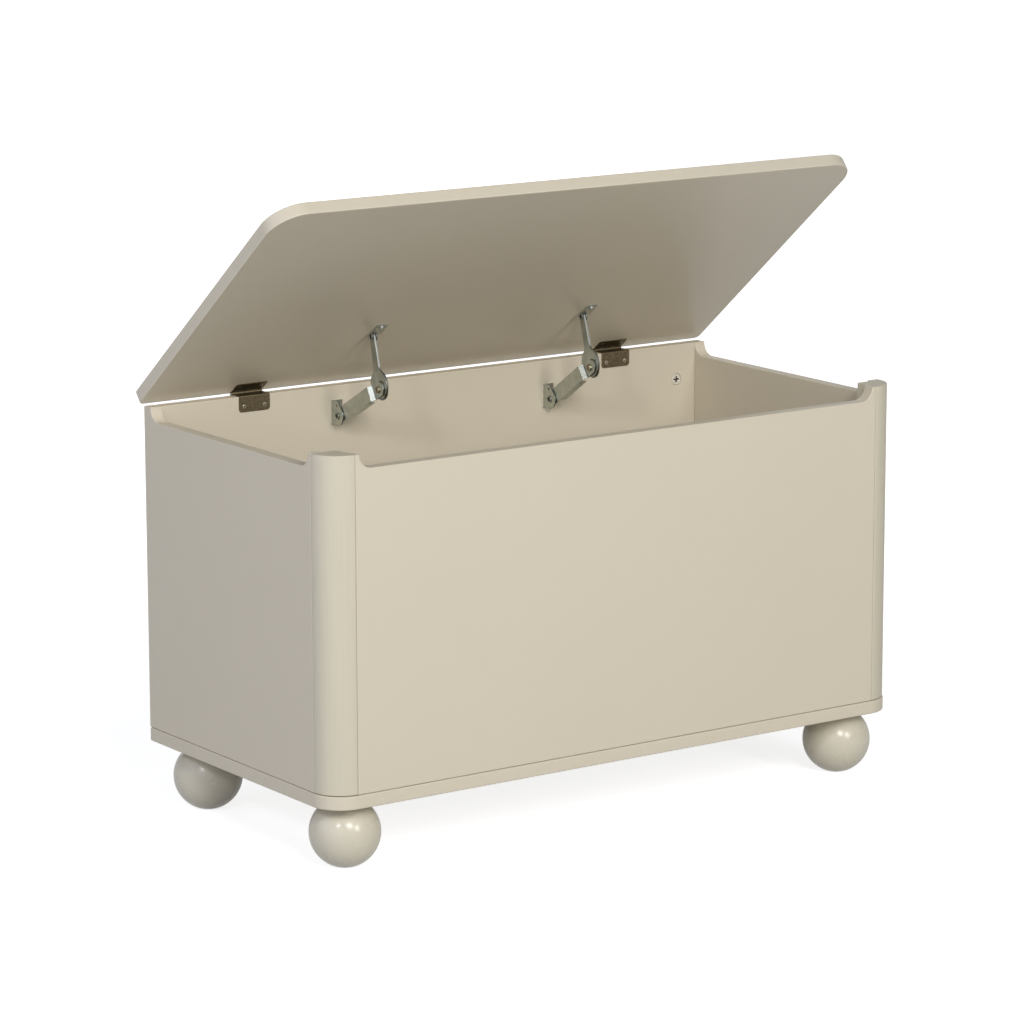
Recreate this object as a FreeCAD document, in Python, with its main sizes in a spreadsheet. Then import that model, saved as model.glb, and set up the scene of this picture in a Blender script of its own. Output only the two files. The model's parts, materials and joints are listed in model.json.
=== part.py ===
import FreeCAD, Part
import math
import os

import Sketcher

# Toy chest on ball feet, with a hinged lid held by two friction stays.
# +Z is up, the front faces -Y, and the origin is on the floor under the middle of the box.

doc = FreeCAD.newDocument("ToyChest")
sheet = doc.addObject("Spreadsheet::Sheet", "Sizes")

SIZES = {
    # Box
    "box_width": 840.0,
    "box_depth": 412.0,
    "panel_height": 400.0,
    "board_thickness": 16.0,
    "post_radius": 37.0,
    "front_ear": 5.5,
    "rear_ear": 16.0,
    "cove_radius": 17.0,
    # Base board
    "base_thickness": 16.5,
    "base_overhang": 1.0,
    "base_rear_radius": 4.0,
    "base_edge_round": 1.5,
    # Distance of the box's middle in front of the whole chest's middle, with the lid open
    "frame_setback": 6.8,
    # Lid
    "lid_thickness": 16.0,
    "lid_side_overhang": 5.0,
    "lid_front_overhang": 5.5,
    "lid_rear_overhang": 5.0,
    "lid_front_radius": 42.0,
    "lid_rear_radius": 8.0,
    "lid_edge_round": 1.5,
    "lid_rest_angle": 38.9,
    # Ball feet
    "foot_radius": 42.5,
    "foot_sole_cut": 1.3,
    "foot_top_cut": 2.2,
    "foot_inset_side": 51.0,
    "foot_inset_end": 51.5,
    "hanger_bolt_radius": 4.0,
    "hanger_bolt_in_foot": 32.0,
    "hanger_bolt_in_base": 12.0,
    "insert_radius": 6.0,
    "insert_flange_radius": 9.0,
    "insert_flange_thickness": 1.5,
    "insert_depth": 13.0,
    # Cam locks, their bolts and the dowels
    "cam_radius": 7.5,
    "cam_depth": 12.5,
    "cam_reach": 30.4,
    "cam_edge": 46.0,
    "cam_slot_radius": 3.8,
    "cam_bolt_radius": 2.5,
    "cam_bolt_head_radius": 3.5,
    "cam_bolt_head_length": 3.0,
    "cam_bolt_tail": 11.0,
    "cam_bore_radius": 4.0,
    "dowel_radius": 4.0,
    "dowel_in_face": 11.0,
    "dowel_in_end": 19.0,
    "dowel_edge": 130.0,
    # Screws through the base board
    "base_screw_radius": 2.5,
    "base_screw_head_radius": 5.0,
    "base_screw_head_depth": 3.0,
    "base_screw_length": 46.0,
    "base_screw_end_inset": 170.0,
    "base_screw_front_inset": 146.0,
    "base_screw_rear_inset": 96.0,
    "base_screw_post_inset": 15.0,
    # Hinges
    "hinge_inset": 146.0,
    "hinge_width": 44.0,
    "hinge_setback": 2.8,
    "leaf_thickness": 1.0,
    "leaf_gap": 0.4,
    "fixed_leaf_drop": 19.5,
    "fixed_leaf_corner": 4.0,
    "leaf_bend_radius": 1.6,
    "lid_leaf_reach": 20.8,
    "lid_leaf_corner": 2.0,
    "knuckle_radius": 2.4,
    "knuckle_gap": 0.3,
    "knuckle_relief": 0.5,
    "pin_radius": 1.2,
    "pin_clearance": 0.05,
    "hinge_screw_side": 14.7,
    "fixed_leaf_screw_drop": 12.5,
    "lid_leaf_screw_reach": 15.0,
    "hinge_screw_radius": 1.5,
    "hinge_screw_head_radius": 2.4,
    "hinge_screw_length": 11.0,
    # Lid stays: pivots
    "left_stay_inset": 258.0,
    "right_stay_inset": 260.0,
    "left_pivot_drop": 36.0,
    "right_pivot_drop": 48.5,
    "left_lid_reach": 119.0,
    "right_lid_reach": 109.0,
    "lid_pivot_depth": 6.8,
    "wall_pivot_reach": 13.7,
    "arm_length": 91.0,
    "link_length": 66.0,
    "elbow_play": 5.4,
    # Lid stays: wall bracket
    "stay_sheet": 1.6,
    "wall_web_radius": 12.0,
    "wall_web_notch": 7.0,
    "wall_ear_radius": 5.0,
    "wall_ear_rise": 13.0,
    "wall_ear_inset": 1.5,
    "wall_ear_hole": 1.8,
    "wall_flange_width": 15.0,
    "wall_flange_sheet": 1.5,
    "wall_screw_side": 9.0,
    "wall_screw_above": 12.0,
    "wall_screw_below": 8.0,
    # Lid stays: arm
    "arm_offset": 2.2,
    "arm_height": 18.7,
    "arm_rear_end": 6.5,
    "arm_rear_round": 6.3,
    "arm_front_end": 12.5,
    "arm_front_clip": 6.0,
    "arm_joggle_start": 77.5,
    "arm_joggle_run": 3.6,
    "arm_joggle_step": 5.4,
    "arm_flange_start": 16.0,
    "arm_flange_end": 69.0,
    "arm_flange_depth": 11.0,
    # Lid stays: elbow pin and rivets
    "elbow_pin_radius": 2.5,
    "adjuster_radius": 4.4,
    "adjuster_height": 1.8,
    "elbow_flange_radius": 13.5,
    "elbow_flange_thickness": 1.4,
    "elbow_tail_radius": 4.5,
    "elbow_tail_height": 1.5,
    "stay_side_gap": 0.4,
    "wall_rivet_radius": 3.0,
    "wall_rivet_head_radius": 4.4,
    "lid_rivet_radius": 2.5,
    "lid_rivet_head_radius": 4.0,
    "rivet_head_height": 1.2,
    "rivet_clearance": 0.05,
    # Lid stays: link and lid bracket
    "link_offset": 9.8,
    "link_thickness": 2.6,
    "link_disc_radius": 18.0,
    "link_disc_inset": 6.0,
    "link_end_radius": 5.0,
    "link_neck": 6.0,
    "link_neck_round": 8.0,
    "lid_bracket_offset": 13.0,
    "lid_web_radius": 6.5,
    "lid_foot_width": 16.0,
    "lid_foot_forward": 14.5,
    "lid_foot_screw_side": 9.5,
    "lid_foot_screw_forward": 9.0,
    "stay_screw_radius": 1.75,
    "stay_screw_head_radius": 3.2,
    "stay_screw_head_height": 1.7,
    "stay_screw_length": 12.0,
}

for row, (alias, number) in enumerate(SIZES.items(), start=1):
    sheet.set(f"A{row}", alias)
    sheet.set(f"B{row}", str(number))
    sheet.setAlias(f"B{row}", alias)
doc.recompute()


class Size:
    """A length that knows its number now and the formula that ties it to the sheet."""

    def __init__(self, number, formula):
        self.number = float(number)
        self.formula = formula

    def __add__(self, other):
        other = as_size(other)
        return Size(self.number + other.number, f"({self.formula} + {other.formula})")

    def __sub__(self, other):
        other = as_size(other)
        return Size(self.number - other.number, f"({self.formula} - {other.formula})")

    def __mul__(self, other):
        other = as_size(other)
        return Size(self.number * other.number, f"({self.formula} * {other.formula})")

    def __truediv__(self, other):
        other = as_size(other)
        return Size(self.number / other.number, f"({self.formula} / {other.formula})")

    def __neg__(self):
        return Size(-self.number, f"(0 - {self.formula})")

    def root(self):
        return Size(math.sqrt(self.number), f"sqrt({self.formula})")


def as_size(value):
    return value if isinstance(value, Size) else Size(value, repr(value))


def leg(long_side, short_side):
    """Third side of a right triangle with the given hypotenuse and leg."""
    return (long_side * long_side - short_side * short_side).root()


class Sheet:
    """Gives every cell of the sheet as a Size under its alias."""

    def __getattr__(self, alias):
        return Size(sheet.get(alias), f"{sheet.Name}.{alias}")


S = Sheet()


# Drawing and feature helpers

def bind(target, path, size):
    target.setExpression(path, as_size(size).formula)


def place(target, x=0.0, y=0.0, z=0.0):
    for axis, size in zip("xyz", (x, y, z)):
        bind(target, f"Placement.Base.{axis}", size)
    return target


def new_body(name):
    body = doc.addObject("PartDesign::Body", name)
    body.Label = name
    return body


def new_sketch(body, name, plane, offset=0.0):
    """Sketch on one of the body's own origin planes, moved along the plane's normal."""
    sketch = body.newObject("Sketcher::SketchObject", f"{body.Name}_{name}")
    support = [feature for feature in body.Origin.OriginFeatures if feature.Role == plane]
    sketch.AttachmentSupport = [(support[0], "")]
    sketch.MapMode = "FlatFace"
    bind(sketch, "AttachmentOffset.Base.z", offset)
    return sketch


def pin_point(sketch, geometry, point, x, y):
    """Ties a point to the sketch origin by two distances from the sheet."""
    for kind, size in (("DistanceX", as_size(x)), ("DistanceY", as_size(y))):
        index = sketch.addConstraint(Sketcher.Constraint(kind, -1, 1, geometry, point, size.number))
        bind(sketch, f"Constraints[{index}]", size)


def set_radius(sketch, geometry, radius):
    index = sketch.addConstraint(Sketcher.Constraint("Radius", geometry, as_size(radius).number))
    bind(sketch, f"Constraints[{index}]", radius)


def draw_outline(sketch, points):
    """Closed outline; a point (x, y) starts a line and (x, y, (cx, cy, radius, turn)) starts an arc."""
    ends = []
    for index, point in enumerate(points):
        following = points[(index + 1) % len(points)]
        start = FreeCAD.Vector(as_size(point[0]).number, as_size(point[1]).number, 0)
        end = FreeCAD.Vector(as_size(following[0]).number, as_size(following[1]).number, 0)
        if len(point) == 2:
            geometry = sketch.addGeometry(Part.LineSegment(start, end), False)
            ends.append((geometry, 1, 2))
            continue
        cx, cy, radius, turn = point[2]
        centre = FreeCAD.Vector(as_size(cx).number, as_size(cy).number, 0)
        circle = Part.Circle(centre, FreeCAD.Vector(0, 0, 1), as_size(radius).number)
        first = math.atan2(start.y - centre.y, start.x - centre.x)
        last = math.atan2(end.y - centre.y, end.x - centre.x)
        if turn < 0:
            first, last = last, first
        geometry = sketch.addGeometry(Part.ArcOfCircle(circle, first, last), False)
        ends.append((geometry, 1, 2) if turn > 0 else (geometry, 2, 1))
    for index, (geometry, _, tail) in enumerate(ends):
        next_geometry, next_head, _ = ends[(index + 1) % len(ends)]
        sketch.addConstraint(Sketcher.Constraint("Coincident", geometry, tail, next_geometry, next_head))
    for point, (geometry, head, _) in zip(points, ends):
        pin_point(sketch, geometry, head, point[0], point[1])
        if len(point) == 3:
            set_radius(sketch, geometry, point[2][2])
    return sketch


def draw_box(sketch, x0, y0, x1, y1):
    return draw_outline(sketch, [(x0, y0), (x1, y0), (x1, y1), (x0, y1)])


def draw_circle(sketch, x, y, radius):
    centre = FreeCAD.Vector(as_size(x).number, as_size(y).number, 0)
    circle = Part.Circle(centre, FreeCAD.Vector(0, 0, 1), as_size(radius).number)
    geometry = sketch.addGeometry(circle, False)
    pin_point(sketch, geometry, 3, x, y)
    set_radius(sketch, geometry, radius)
    return sketch


def pad(body, sketch, length, both_ways=False):
    feature = body.newObject("PartDesign::Pad", f"{sketch.Name}_pad")
    feature.Profile = sketch
    bind(feature, "Length", length)
    feature.SideType = "Symmetric" if both_ways else "One side"
    doc.recompute()
    return feature


def cut_through(body, sketch):
    """Removes the sketched area right through the body, both ways."""
    before = body.Shape.Volume
    feature = body.newObject("PartDesign::Pocket", f"{sketch.Name}_cut")
    feature.Profile = sketch
    feature.Type = "ThroughAll"
    feature.SideType = "Symmetric"
    doc.recompute()
    if body.Shape.Volume >= before:
        raise ValueError(f"{sketch.Name} cuts nothing")
    return feature


def revolve(body, sketch, axis):
    feature = body.newObject("PartDesign::Revolution", f"{sketch.Name}_turn")
    feature.Profile = sketch
    feature.ReferenceAxis = (sketch, [axis])
    feature.Angle = 360.0
    doc.recompute()
    return feature


def dress(body, kind, size, wanted):
    """Rounds (PartDesign::Fillet) or clips (PartDesign::Chamfer) the edges that pass the test."""
    tip = body.Tip
    names = [f"Edge{n}" for n, edge in enumerate(tip.Shape.Edges, start=1) if wanted(edge)]
    feature = body.newObject(kind, f"{body.Name}_{kind.split('::')[1].lower()}")
    feature.Base = (tip, names)
    bind(feature, "Radius" if kind.endswith("Fillet") else "Size", size)
    doc.recompute()
    return feature


def near(value, size):
    return abs(value - as_size(size).number) < 1e-4


def along(edge, axis):
    """True for a straight edge that runs along the named axis."""
    if not isinstance(edge.Curve, Part.Line):
        return False
    return abs(getattr(edge.Curve.Direction, axis)) > 0.999


AXIS_TURN = {
    "+x": FreeCAD.Rotation(FreeCAD.Vector(0, 1, 0), 90),
    "-x": FreeCAD.Rotation(FreeCAD.Vector(0, 1, 0), -90),
    "+y": FreeCAD.Rotation(FreeCAD.Vector(1, 0, 0), -90),
    "-y": FreeCAD.Rotation(FreeCAD.Vector(1, 0, 0), 90),
    "+z": FreeCAD.Rotation(),
    "-z": FreeCAD.Rotation(FreeCAD.Vector(1, 0, 0), 180),
}


class Bores:
    """Collects the holes of one board and drills them all at once."""

    def __init__(self, label):
        self.label = label
        self.tools = []

    def add(self, where, direction, radius, depth):
        tool = doc.addObject("Part::Cylinder", f"{self.label}_bore")
        bind(tool, "Radius", radius)
        bind(tool, "Height", depth)
        tool.Placement = FreeCAD.Placement(FreeCAD.Vector(), AXIS_TURN[direction])
        place(tool, *where)
        self.tools.append(tool)

    def drill(self, blank):
        tools = doc.addObject("Part::MultiFuse", f"{self.label}_bores")
        tools.Shapes = self.tools
        tools.Refine = False
        board = doc.addObject("Part::Cut", self.label)
        board.Base = blank
        board.Tool = tools
        board.Label = self.label
        doc.recompute()
        if board.Shape.Volume >= blank.Shape.Volume:
            raise ValueError(f"{self.label} has no bores")
        return board


def spots(points, direction):
    """Placements of a fastener drawn along +Z, at the given points and turned to the direction."""
    placements = []
    for point in points:
        base = FreeCAD.Vector(*(as_size(size).number for size in point))
        placements.append(FreeCAD.Placement(base, AXIS_TURN[direction]))
    return placements


def fastener_group(label, master, placements, moved=FreeCAD.Placement()):
    """One node holding a separate solid for every fastener of a kind."""
    solids = []
    for placement in placements:
        solid = master.Shape.copy()
        solid.Placement = placement
        solids.append(solid)
    group = doc.addObject("Part::Feature", label)
    group.Shape = Part.makeCompound(solids)
    group.Placement = moved
    group.Label = label
    return group


nodes = []

# Levels and faces shared by the whole chest
half_width = S.box_width / 2
half_depth = S.box_depth / 2
foot_height = S.foot_radius * 2 - S.foot_sole_cut - S.foot_top_cut
base_top = foot_height + S.base_thickness
rim = base_top + S.panel_height
board_middle = S.board_thickness / 2
front_middle = -half_depth + board_middle
back_middle = half_depth - board_middle
back_inner = half_depth - S.board_thickness
side_middle = half_width - board_middle
side_inner = half_width - S.board_thickness
post_side = half_width - S.post_radius
post_rear = -half_depth + S.post_radius
fix_levels = (base_top + S.cam_edge, rim - S.cam_edge)
dowel_levels = (base_top + S.dowel_edge, rim - S.dowel_edge)
SIDES = (("left", -1), ("right", 1))

# Fastener positions shared by the boards they join
foot_spots = {
    f"{end}_{side}": (S.foot_inset_side * -sign + half_width * sign, (half_depth - S.foot_inset_end) * reach)
    for side, sign in SIDES
    for end, reach in (("front", -1), ("rear", 1))
}
screw_end = half_width - S.base_screw_end_inset
screw_row = (-screw_end, as_size(0), screw_end)
front_screws = [(x, front_middle) for x in screw_row]
back_screws = [(x, back_middle) for x in screw_row]
side_screws = {
    sign: [
        (side_middle * sign, -half_depth + S.base_screw_front_inset),
        (side_middle * sign, half_depth - S.base_screw_rear_inset),
    ]
    for _, sign in SIDES
}
post_screws = {
    sign: ((post_side + S.base_screw_post_inset) * sign, post_rear - S.base_screw_post_inset)
    for _, sign in SIDES
}
base_screws = front_screws + back_screws + side_screws[-1] + side_screws[1] + list(post_screws.values())
screw_in_board = S.base_screw_length - S.base_thickness

# Hinge axis and stay pivots
axis_y = half_depth + S.hinge_setback
axis_rise = S.leaf_thickness + S.leaf_gap / 2
axis_z = rim + axis_rise
hinge_x = half_width - S.hinge_inset
hinge_screw_x = [hinge_x * sign + S.hinge_screw_side * hand for _, sign in SIDES for hand in (-1, 1)]
stays = {
    "left": (-half_width + S.left_stay_inset, S.left_pivot_drop, S.left_lid_reach),
    "right": (half_width - S.right_stay_inset, S.right_pivot_drop, S.right_lid_reach),
}
wall_pivot_y = back_inner - S.wall_pivot_reach
wall_screw_spots = [
    (x + S.wall_screw_side, back_inner, rim - drop + rise)
    for x, drop, _ in stays.values()
    for rise in (-S.wall_screw_below, S.wall_screw_above)
]
lid_screw_spots = [
    (x + S.lid_bracket_offset + S.lid_foot_screw_side, -reach - S.lid_foot_screw_forward, axis_rise)
    for x, _, reach in stays.values()
]
opened = FreeCAD.Placement(
    FreeCAD.Vector(0, axis_y.number, axis_z.number),
    FreeCAD.Rotation(FreeCAD.Vector(1, 0, 0), -S.lid_rest_angle.number),
)


# Base board: one board under all the panels, rounded at the front like the posts above it

def base_board():
    blank = new_body("base_blank")
    outline = new_sketch(blank, "plan", "XY_Plane", foot_height)
    side = half_width + S.base_overhang
    front = -half_depth - S.base_overhang
    rear = half_depth
    corner = S.post_radius + S.base_overhang
    heel = S.base_rear_radius
    draw_outline(outline, [
        (-side + corner, front),
        (side - corner, front, (side - corner, front + corner, corner, 1)),
        (side, front + corner),
        (side, rear - heel, (side - heel, rear - heel, heel, 1)),
        (side - heel, rear),
        (-side + heel, rear, (-side + heel, rear - heel, heel, 1)),
        (-side, rear - heel),
        (-side, front + corner, (-side + corner, front + corner, corner, 1)),
    ])
    pad(blank, outline, S.base_thickness)
    dress(blank, "PartDesign::Fillet", S.base_edge_round,
          lambda edge: near(edge.BoundBox.ZMin, foot_height) and near(edge.BoundBox.ZMax, foot_height))
    bores = Bores("base_board")
    for x, y in base_screws:
        bores.add((x, y, foot_height), "+z", S.base_screw_radius, S.base_thickness)
        bores.add((x, y, foot_height), "+z", S.base_screw_head_radius, S.base_screw_head_depth)
    for x, y in foot_spots.values():
        bores.add((x, y, foot_height), "+z", S.insert_radius, S.insert_depth)
        bores.add((x, y, foot_height), "+z", S.insert_flange_radius, S.insert_flange_thickness)
    nodes.append(bores.drill(blank))


# Panels: the front and sides are scooped along the top so that fingers reach under the lid

def scooped_outline(start, end, start_ear, end_ear):
    cove = S.cove_radius
    top = S.panel_height
    low = top - cove
    left = start + start_ear
    right = end - end_ear
    return [
        (start, 0),
        (end, 0),
        (end, top),
        (right, top, (right - cove, top, cove, -1)),
        (right - cove, low),
        (left + cove, low, (left + cove, top, cove, -1)),
        (left, top),
        (start, top),
    ]


def front_panel():
    blank = place(new_body("front_blank"), y=-half_depth + S.board_thickness, z=base_top)
    outline = new_sketch(blank, "face", "XZ_Plane")
    draw_outline(outline, scooped_outline(-post_side, post_side, S.front_ear, S.front_ear))
    pad(blank, outline, S.board_thickness)
    bores = Bores("front_panel")
    inner = -half_depth + S.board_thickness
    for sign, inward in ((-1, "+x"), (1, "-x")):
        for level in fix_levels:
            bores.add(((post_side - S.cam_reach) * sign, inner, level), "-y", S.cam_radius, S.cam_depth)
            bores.add((post_side * sign, front_middle, level), inward, S.cam_bore_radius, S.cam_reach)
        for level in dowel_levels:
            bores.add((post_side * sign, front_middle, level), inward, S.dowel_radius, S.dowel_in_end)
    for x, y in front_screws:
        bores.add((x, y, base_top), "+z", S.base_screw_radius, screw_in_board)
    nodes.append(bores.drill(blank))


def side_panel(side, sign):
    inner = side_inner * sign
    blank = place(new_body(f"{side}_side_blank"), x=side_inner if sign > 0 else -half_width, z=base_top)
    outline = new_sketch(blank, "face", "YZ_Plane")
    draw_outline(outline, scooped_outline(post_rear, half_depth, S.front_ear, S.rear_ear))
    pad(blank, outline, S.board_thickness)
    bores = Bores(f"{side}_side_panel")
    outward = "+x" if sign > 0 else "-x"
    for level in fix_levels:
        bores.add((inner, post_rear + S.cam_reach, level), outward, S.cam_radius, S.cam_depth)
        bores.add((side_middle * sign, post_rear, level), "+y", S.cam_bore_radius, S.cam_reach)
        bores.add((inner, back_middle, level), outward, S.cam_bolt_radius, S.cam_bolt_tail)
    for level in dowel_levels:
        bores.add((side_middle * sign, post_rear, level), "+y", S.dowel_radius, S.dowel_in_end)
        bores.add((inner, back_middle, level), outward, S.dowel_radius, S.dowel_in_face)
    for x, y in side_screws[sign]:
        bores.add((x, y, base_top), "+z", S.base_screw_radius, screw_in_board)
    nodes.append(bores.drill(blank))


def back_panel():
    blank = place(new_body("back_blank"), y=half_depth, z=base_top)
    outline = new_sketch(blank, "face", "XZ_Plane")
    draw_box(outline, -side_inner, 0, side_inner, S.panel_height)
    pad(blank, outline, S.board_thickness)
    bores = Bores("back_panel")
    for sign, inward in ((-1, "+x"), (1, "-x")):
        for level in fix_levels:
            bores.add(((side_inner - S.cam_reach) * sign, back_inner, level), "+y", S.cam_radius, S.cam_depth)
            bores.add((side_inner * sign, back_middle, level), inward, S.cam_bore_radius, S.cam_reach)
        for level in dowel_levels:
            bores.add((side_inner * sign, back_middle, level), inward, S.dowel_radius, S.dowel_in_end)
    for x, y in back_screws:
        bores.add((x, y, base_top), "+z", S.base_screw_radius, screw_in_board)
    for x in hinge_screw_x:
        bores.add((x, back_inner, rim - S.fixed_leaf_screw_drop), "+y", S.hinge_screw_radius,
                  S.hinge_screw_length - S.leaf_thickness)
    for spot in wall_screw_spots:
        bores.add(spot, "+y", S.stay_screw_radius, S.stay_screw_length - S.wall_flange_sheet)
    nodes.append(bores.drill(blank))


# Front posts: solid quarter rounds that take the ends of the front and side panels

def front_post(side, sign):
    blank = place(new_body(f"{side}_post_blank"), x=post_side * sign, y=post_rear, z=base_top)
    plan = new_sketch(blank, "plan", "XY_Plane")
    radius = S.post_radius
    if sign > 0:
        draw_outline(plan, [(0, 0), (0, -radius, (0, 0, radius, 1)), (radius, 0)])
    else:
        draw_outline(plan, [(0, 0), (-radius, 0, (0, 0, radius, 1)), (0, -radius)])
    pad(blank, plan, S.panel_height)
    bores = Bores(f"{side}_front_post")
    outward = "+x" if sign > 0 else "-x"
    for level in fix_levels:
        bores.add((post_side * sign, front_middle, level), outward, S.cam_bolt_radius, S.cam_bolt_tail)
        bores.add((side_middle * sign, post_rear, level), "-y", S.cam_bolt_radius, S.cam_bolt_tail)
    for level in dowel_levels:
        bores.add((post_side * sign, front_middle, level), outward, S.dowel_radius, S.dowel_in_face)
        bores.add((side_middle * sign, post_rear, level), "-y", S.dowel_radius, S.dowel_in_face)
    x, y = post_screws[sign]
    bores.add((x, y, base_top), "+z", S.base_screw_radius, screw_in_board)
    nodes.append(bores.drill(blank))


# Ball feet: turned balls with a small sole and a small seat, bored for the hanger bolt

def ball_foot(corner, x, y):
    foot = place(new_body(f"{corner}_foot"), x=x, y=y)
    half = new_sketch(foot, "half", "XZ_Plane")
    middle = S.foot_radius - S.foot_sole_cut
    sole = leg(S.foot_radius, middle)
    seat = leg(S.foot_radius, foot_height - middle)
    bore_floor = foot_height - S.hanger_bolt_in_foot
    draw_outline(half, [
        (0, 0),
        (sole, 0, (0, middle, S.foot_radius, 1)),
        (seat, foot_height),
        (S.hanger_bolt_radius, foot_height),
        (S.hanger_bolt_radius, bore_floor),
        (0, bore_floor),
    ])
    revolve(foot, half, "V_Axis")
    nodes.append(foot)


# Foot fixings: a hanger bolt in each foot, and the flanged insert nut in the base board that takes it

def foot_fixings():
    bolt = new_body("hanger_bolt_master")
    half = new_sketch(bolt, "half", "XZ_Plane")
    draw_box(half, 0, -S.hanger_bolt_in_foot, S.hanger_bolt_radius, S.hanger_bolt_in_base)
    revolve(bolt, half, "V_Axis")
    nut = new_body("insert_nut_master")
    ring = new_sketch(nut, "half", "XZ_Plane")
    draw_outline(ring, [
        (S.hanger_bolt_radius, 0),
        (S.insert_flange_radius, 0),
        (S.insert_flange_radius, S.insert_flange_thickness),
        (S.insert_radius, S.insert_flange_thickness),
        (S.insert_radius, S.insert_depth),
        (S.hanger_bolt_radius, S.insert_depth),
    ])
    revolve(nut, ring, "V_Axis")
    places = spots([(x, y, foot_height) for x, y in foot_spots.values()], "+z")
    nodes.append(fastener_group("foot_hanger_bolts", bolt, places))
    nodes.append(fastener_group("foot_insert_nuts", nut, places))


# Board joints: cam locks draw cam bolts into the board ends, dowels line the boards up

def board_joints():
    lock = new_body("cam_lock_master")
    disc = new_sketch(lock, "disc", "XY_Plane")
    draw_circle(disc, 0, 0, S.cam_radius)
    pad(lock, disc, S.cam_depth)
    slot = new_sketch(lock, "slot", "YZ_Plane")
    draw_circle(slot, 0, board_middle, S.cam_slot_radius)
    groove = lock.newObject("PartDesign::Pocket", "cam_lock_slot")
    groove.Profile = slot
    bind(groove, "Length", S.cam_radius)
    groove.Reversed = True
    doc.recompute()

    bolt = new_body("cam_bolt_master")
    half = new_sketch(bolt, "half", "XZ_Plane")
    neck = S.cam_reach - S.cam_bolt_head_length
    draw_outline(half, [
        (0, -S.cam_bolt_tail),
        (S.cam_bolt_radius, -S.cam_bolt_tail),
        (S.cam_bolt_radius, neck),
        (S.cam_bolt_head_radius, neck),
        (S.cam_bolt_head_radius, S.cam_reach),
        (0, S.cam_reach),
    ])
    revolve(bolt, half, "V_Axis")

    dowel = new_body("dowel_master")
    peg = new_sketch(dowel, "half", "XZ_Plane")
    draw_box(peg, 0, -S.dowel_in_face, S.dowel_radius, S.dowel_in_end)
    revolve(dowel, peg, "V_Axis")

    def lock_spot(x, y, level, sink, bolt_side):
        """A lock sunk along one direction, its slot turned to the bolt."""
        turn = FreeCAD.Rotation(bolt_side, FreeCAD.Vector(), sink, "ZXY")
        base = FreeCAD.Vector(x.number, y.number, level.number)
        return FreeCAD.Placement(base, turn)

    locks = []
    bolts = []
    dowels = []
    forward = FreeCAD.Vector(0, -1, 0)
    backward = FreeCAD.Vector(0, 1, 0)
    for _, sign in SIDES:
        outward = FreeCAD.Vector(sign, 0, 0)
        inward = "-x" if sign > 0 else "+x"
        front_end = (post_side * sign, front_middle)
        back_end = (side_inner * sign, back_middle)
        side_end = (side_middle * sign, post_rear)
        for level in fix_levels:
            front_y = -half_depth + S.board_thickness
            locks.append(lock_spot((post_side - S.cam_reach) * sign, front_y, level, forward, outward))
            locks.append(lock_spot((side_inner - S.cam_reach) * sign, back_inner, level, backward, outward))
            locks.append(lock_spot(side_inner * sign, post_rear + S.cam_reach, level, outward, forward))
            bolts += spots([(*front_end, level), (*back_end, level)], inward)
            bolts += spots([(*side_end, level)], "+y")
        for level in dowel_levels:
            dowels += spots([(*front_end, level), (*back_end, level)], inward)
            dowels += spots([(*side_end, level)], "+y")
    nodes.append(fastener_group("cam_locks", lock, locks))
    nodes.append(fastener_group("cam_bolts", bolt, bolts))
    nodes.append(fastener_group("dowels", dowel, dowels))


# Base screws: driven from below, heads sunk into the base board

def base_screw_group():
    screw = new_body("base_screw_master")
    half = new_sketch(screw, "half", "XZ_Plane")
    draw_outline(half, [
        (0, 0),
        (S.base_screw_head_radius, 0),
        (S.base_screw_head_radius, S.base_screw_head_depth),
        (S.base_screw_radius, S.base_screw_head_depth),
        (S.base_screw_radius, S.base_screw_length),
        (0, S.base_screw_length),
    ])
    revolve(screw, half, "V_Axis")
    places = spots([(x, y, foot_height) for x, y in base_screws], "+z")
    nodes.append(fastener_group("base_screws", screw, places))


# Lid: one board, housed out under its rear edge for the hinge barrels, drawn shut about the hinge axis
# and then swung open

def lid_panel():
    blank = new_body("lid_blank")
    outline = new_sketch(blank, "plan", "XY_Plane", axis_rise)
    side = half_width + S.lid_side_overhang
    front = -half_depth - S.lid_front_overhang - axis_y
    rear = S.lid_rear_overhang - S.hinge_setback
    corner = S.lid_front_radius
    heel = S.lid_rear_radius
    draw_outline(outline, [
        (-side + corner, front),
        (side - corner, front, (side - corner, front + corner, corner, 1)),
        (side, front + corner),
        (side, rear - heel, (side - heel, rear - heel, heel, 1)),
        (side - heel, rear),
        (-side + heel, rear, (-side + heel, rear - heel, heel, 1)),
        (-side, rear - heel),
        (-side, front + corner, (-side + corner, front + corner, corner, 1)),
    ])
    pad(blank, outline, S.lid_thickness)
    dress(blank, "PartDesign::Fillet", S.lid_edge_round,
          lambda edge: near(edge.BoundBox.ZMin, edge.BoundBox.ZMax))
    bores = Bores("lid_panel")
    for x in hinge_screw_x:
        bores.add((x, -S.lid_leaf_screw_reach, axis_rise), "+z", S.hinge_screw_radius,
                  S.hinge_screw_length - S.leaf_thickness)
    for spot in lid_screw_spots:
        bores.add(spot, "+z", S.stay_screw_radius, S.stay_screw_length - S.stay_sheet)
    barrel_room = S.knuckle_radius + S.knuckle_relief
    for side, sign in SIDES:
        housing = doc.addObject("Part::Box", f"{side}_barrel_housing")
        bind(housing, "Length", S.hinge_width + S.knuckle_relief * 2)
        bind(housing, "Width", barrel_room + S.lid_rear_overhang)
        bind(housing, "Height", barrel_room)
        place(housing, hinge_x * sign - S.hinge_width / 2 - S.knuckle_relief, -barrel_room)
        bores.tools.append(housing)
    lid = bores.drill(blank)
    lid.Placement = opened
    nodes.append(lid)


# Hinges: leaves rolled round a pin; the fixed leaf is bent over the top of the back panel

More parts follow.
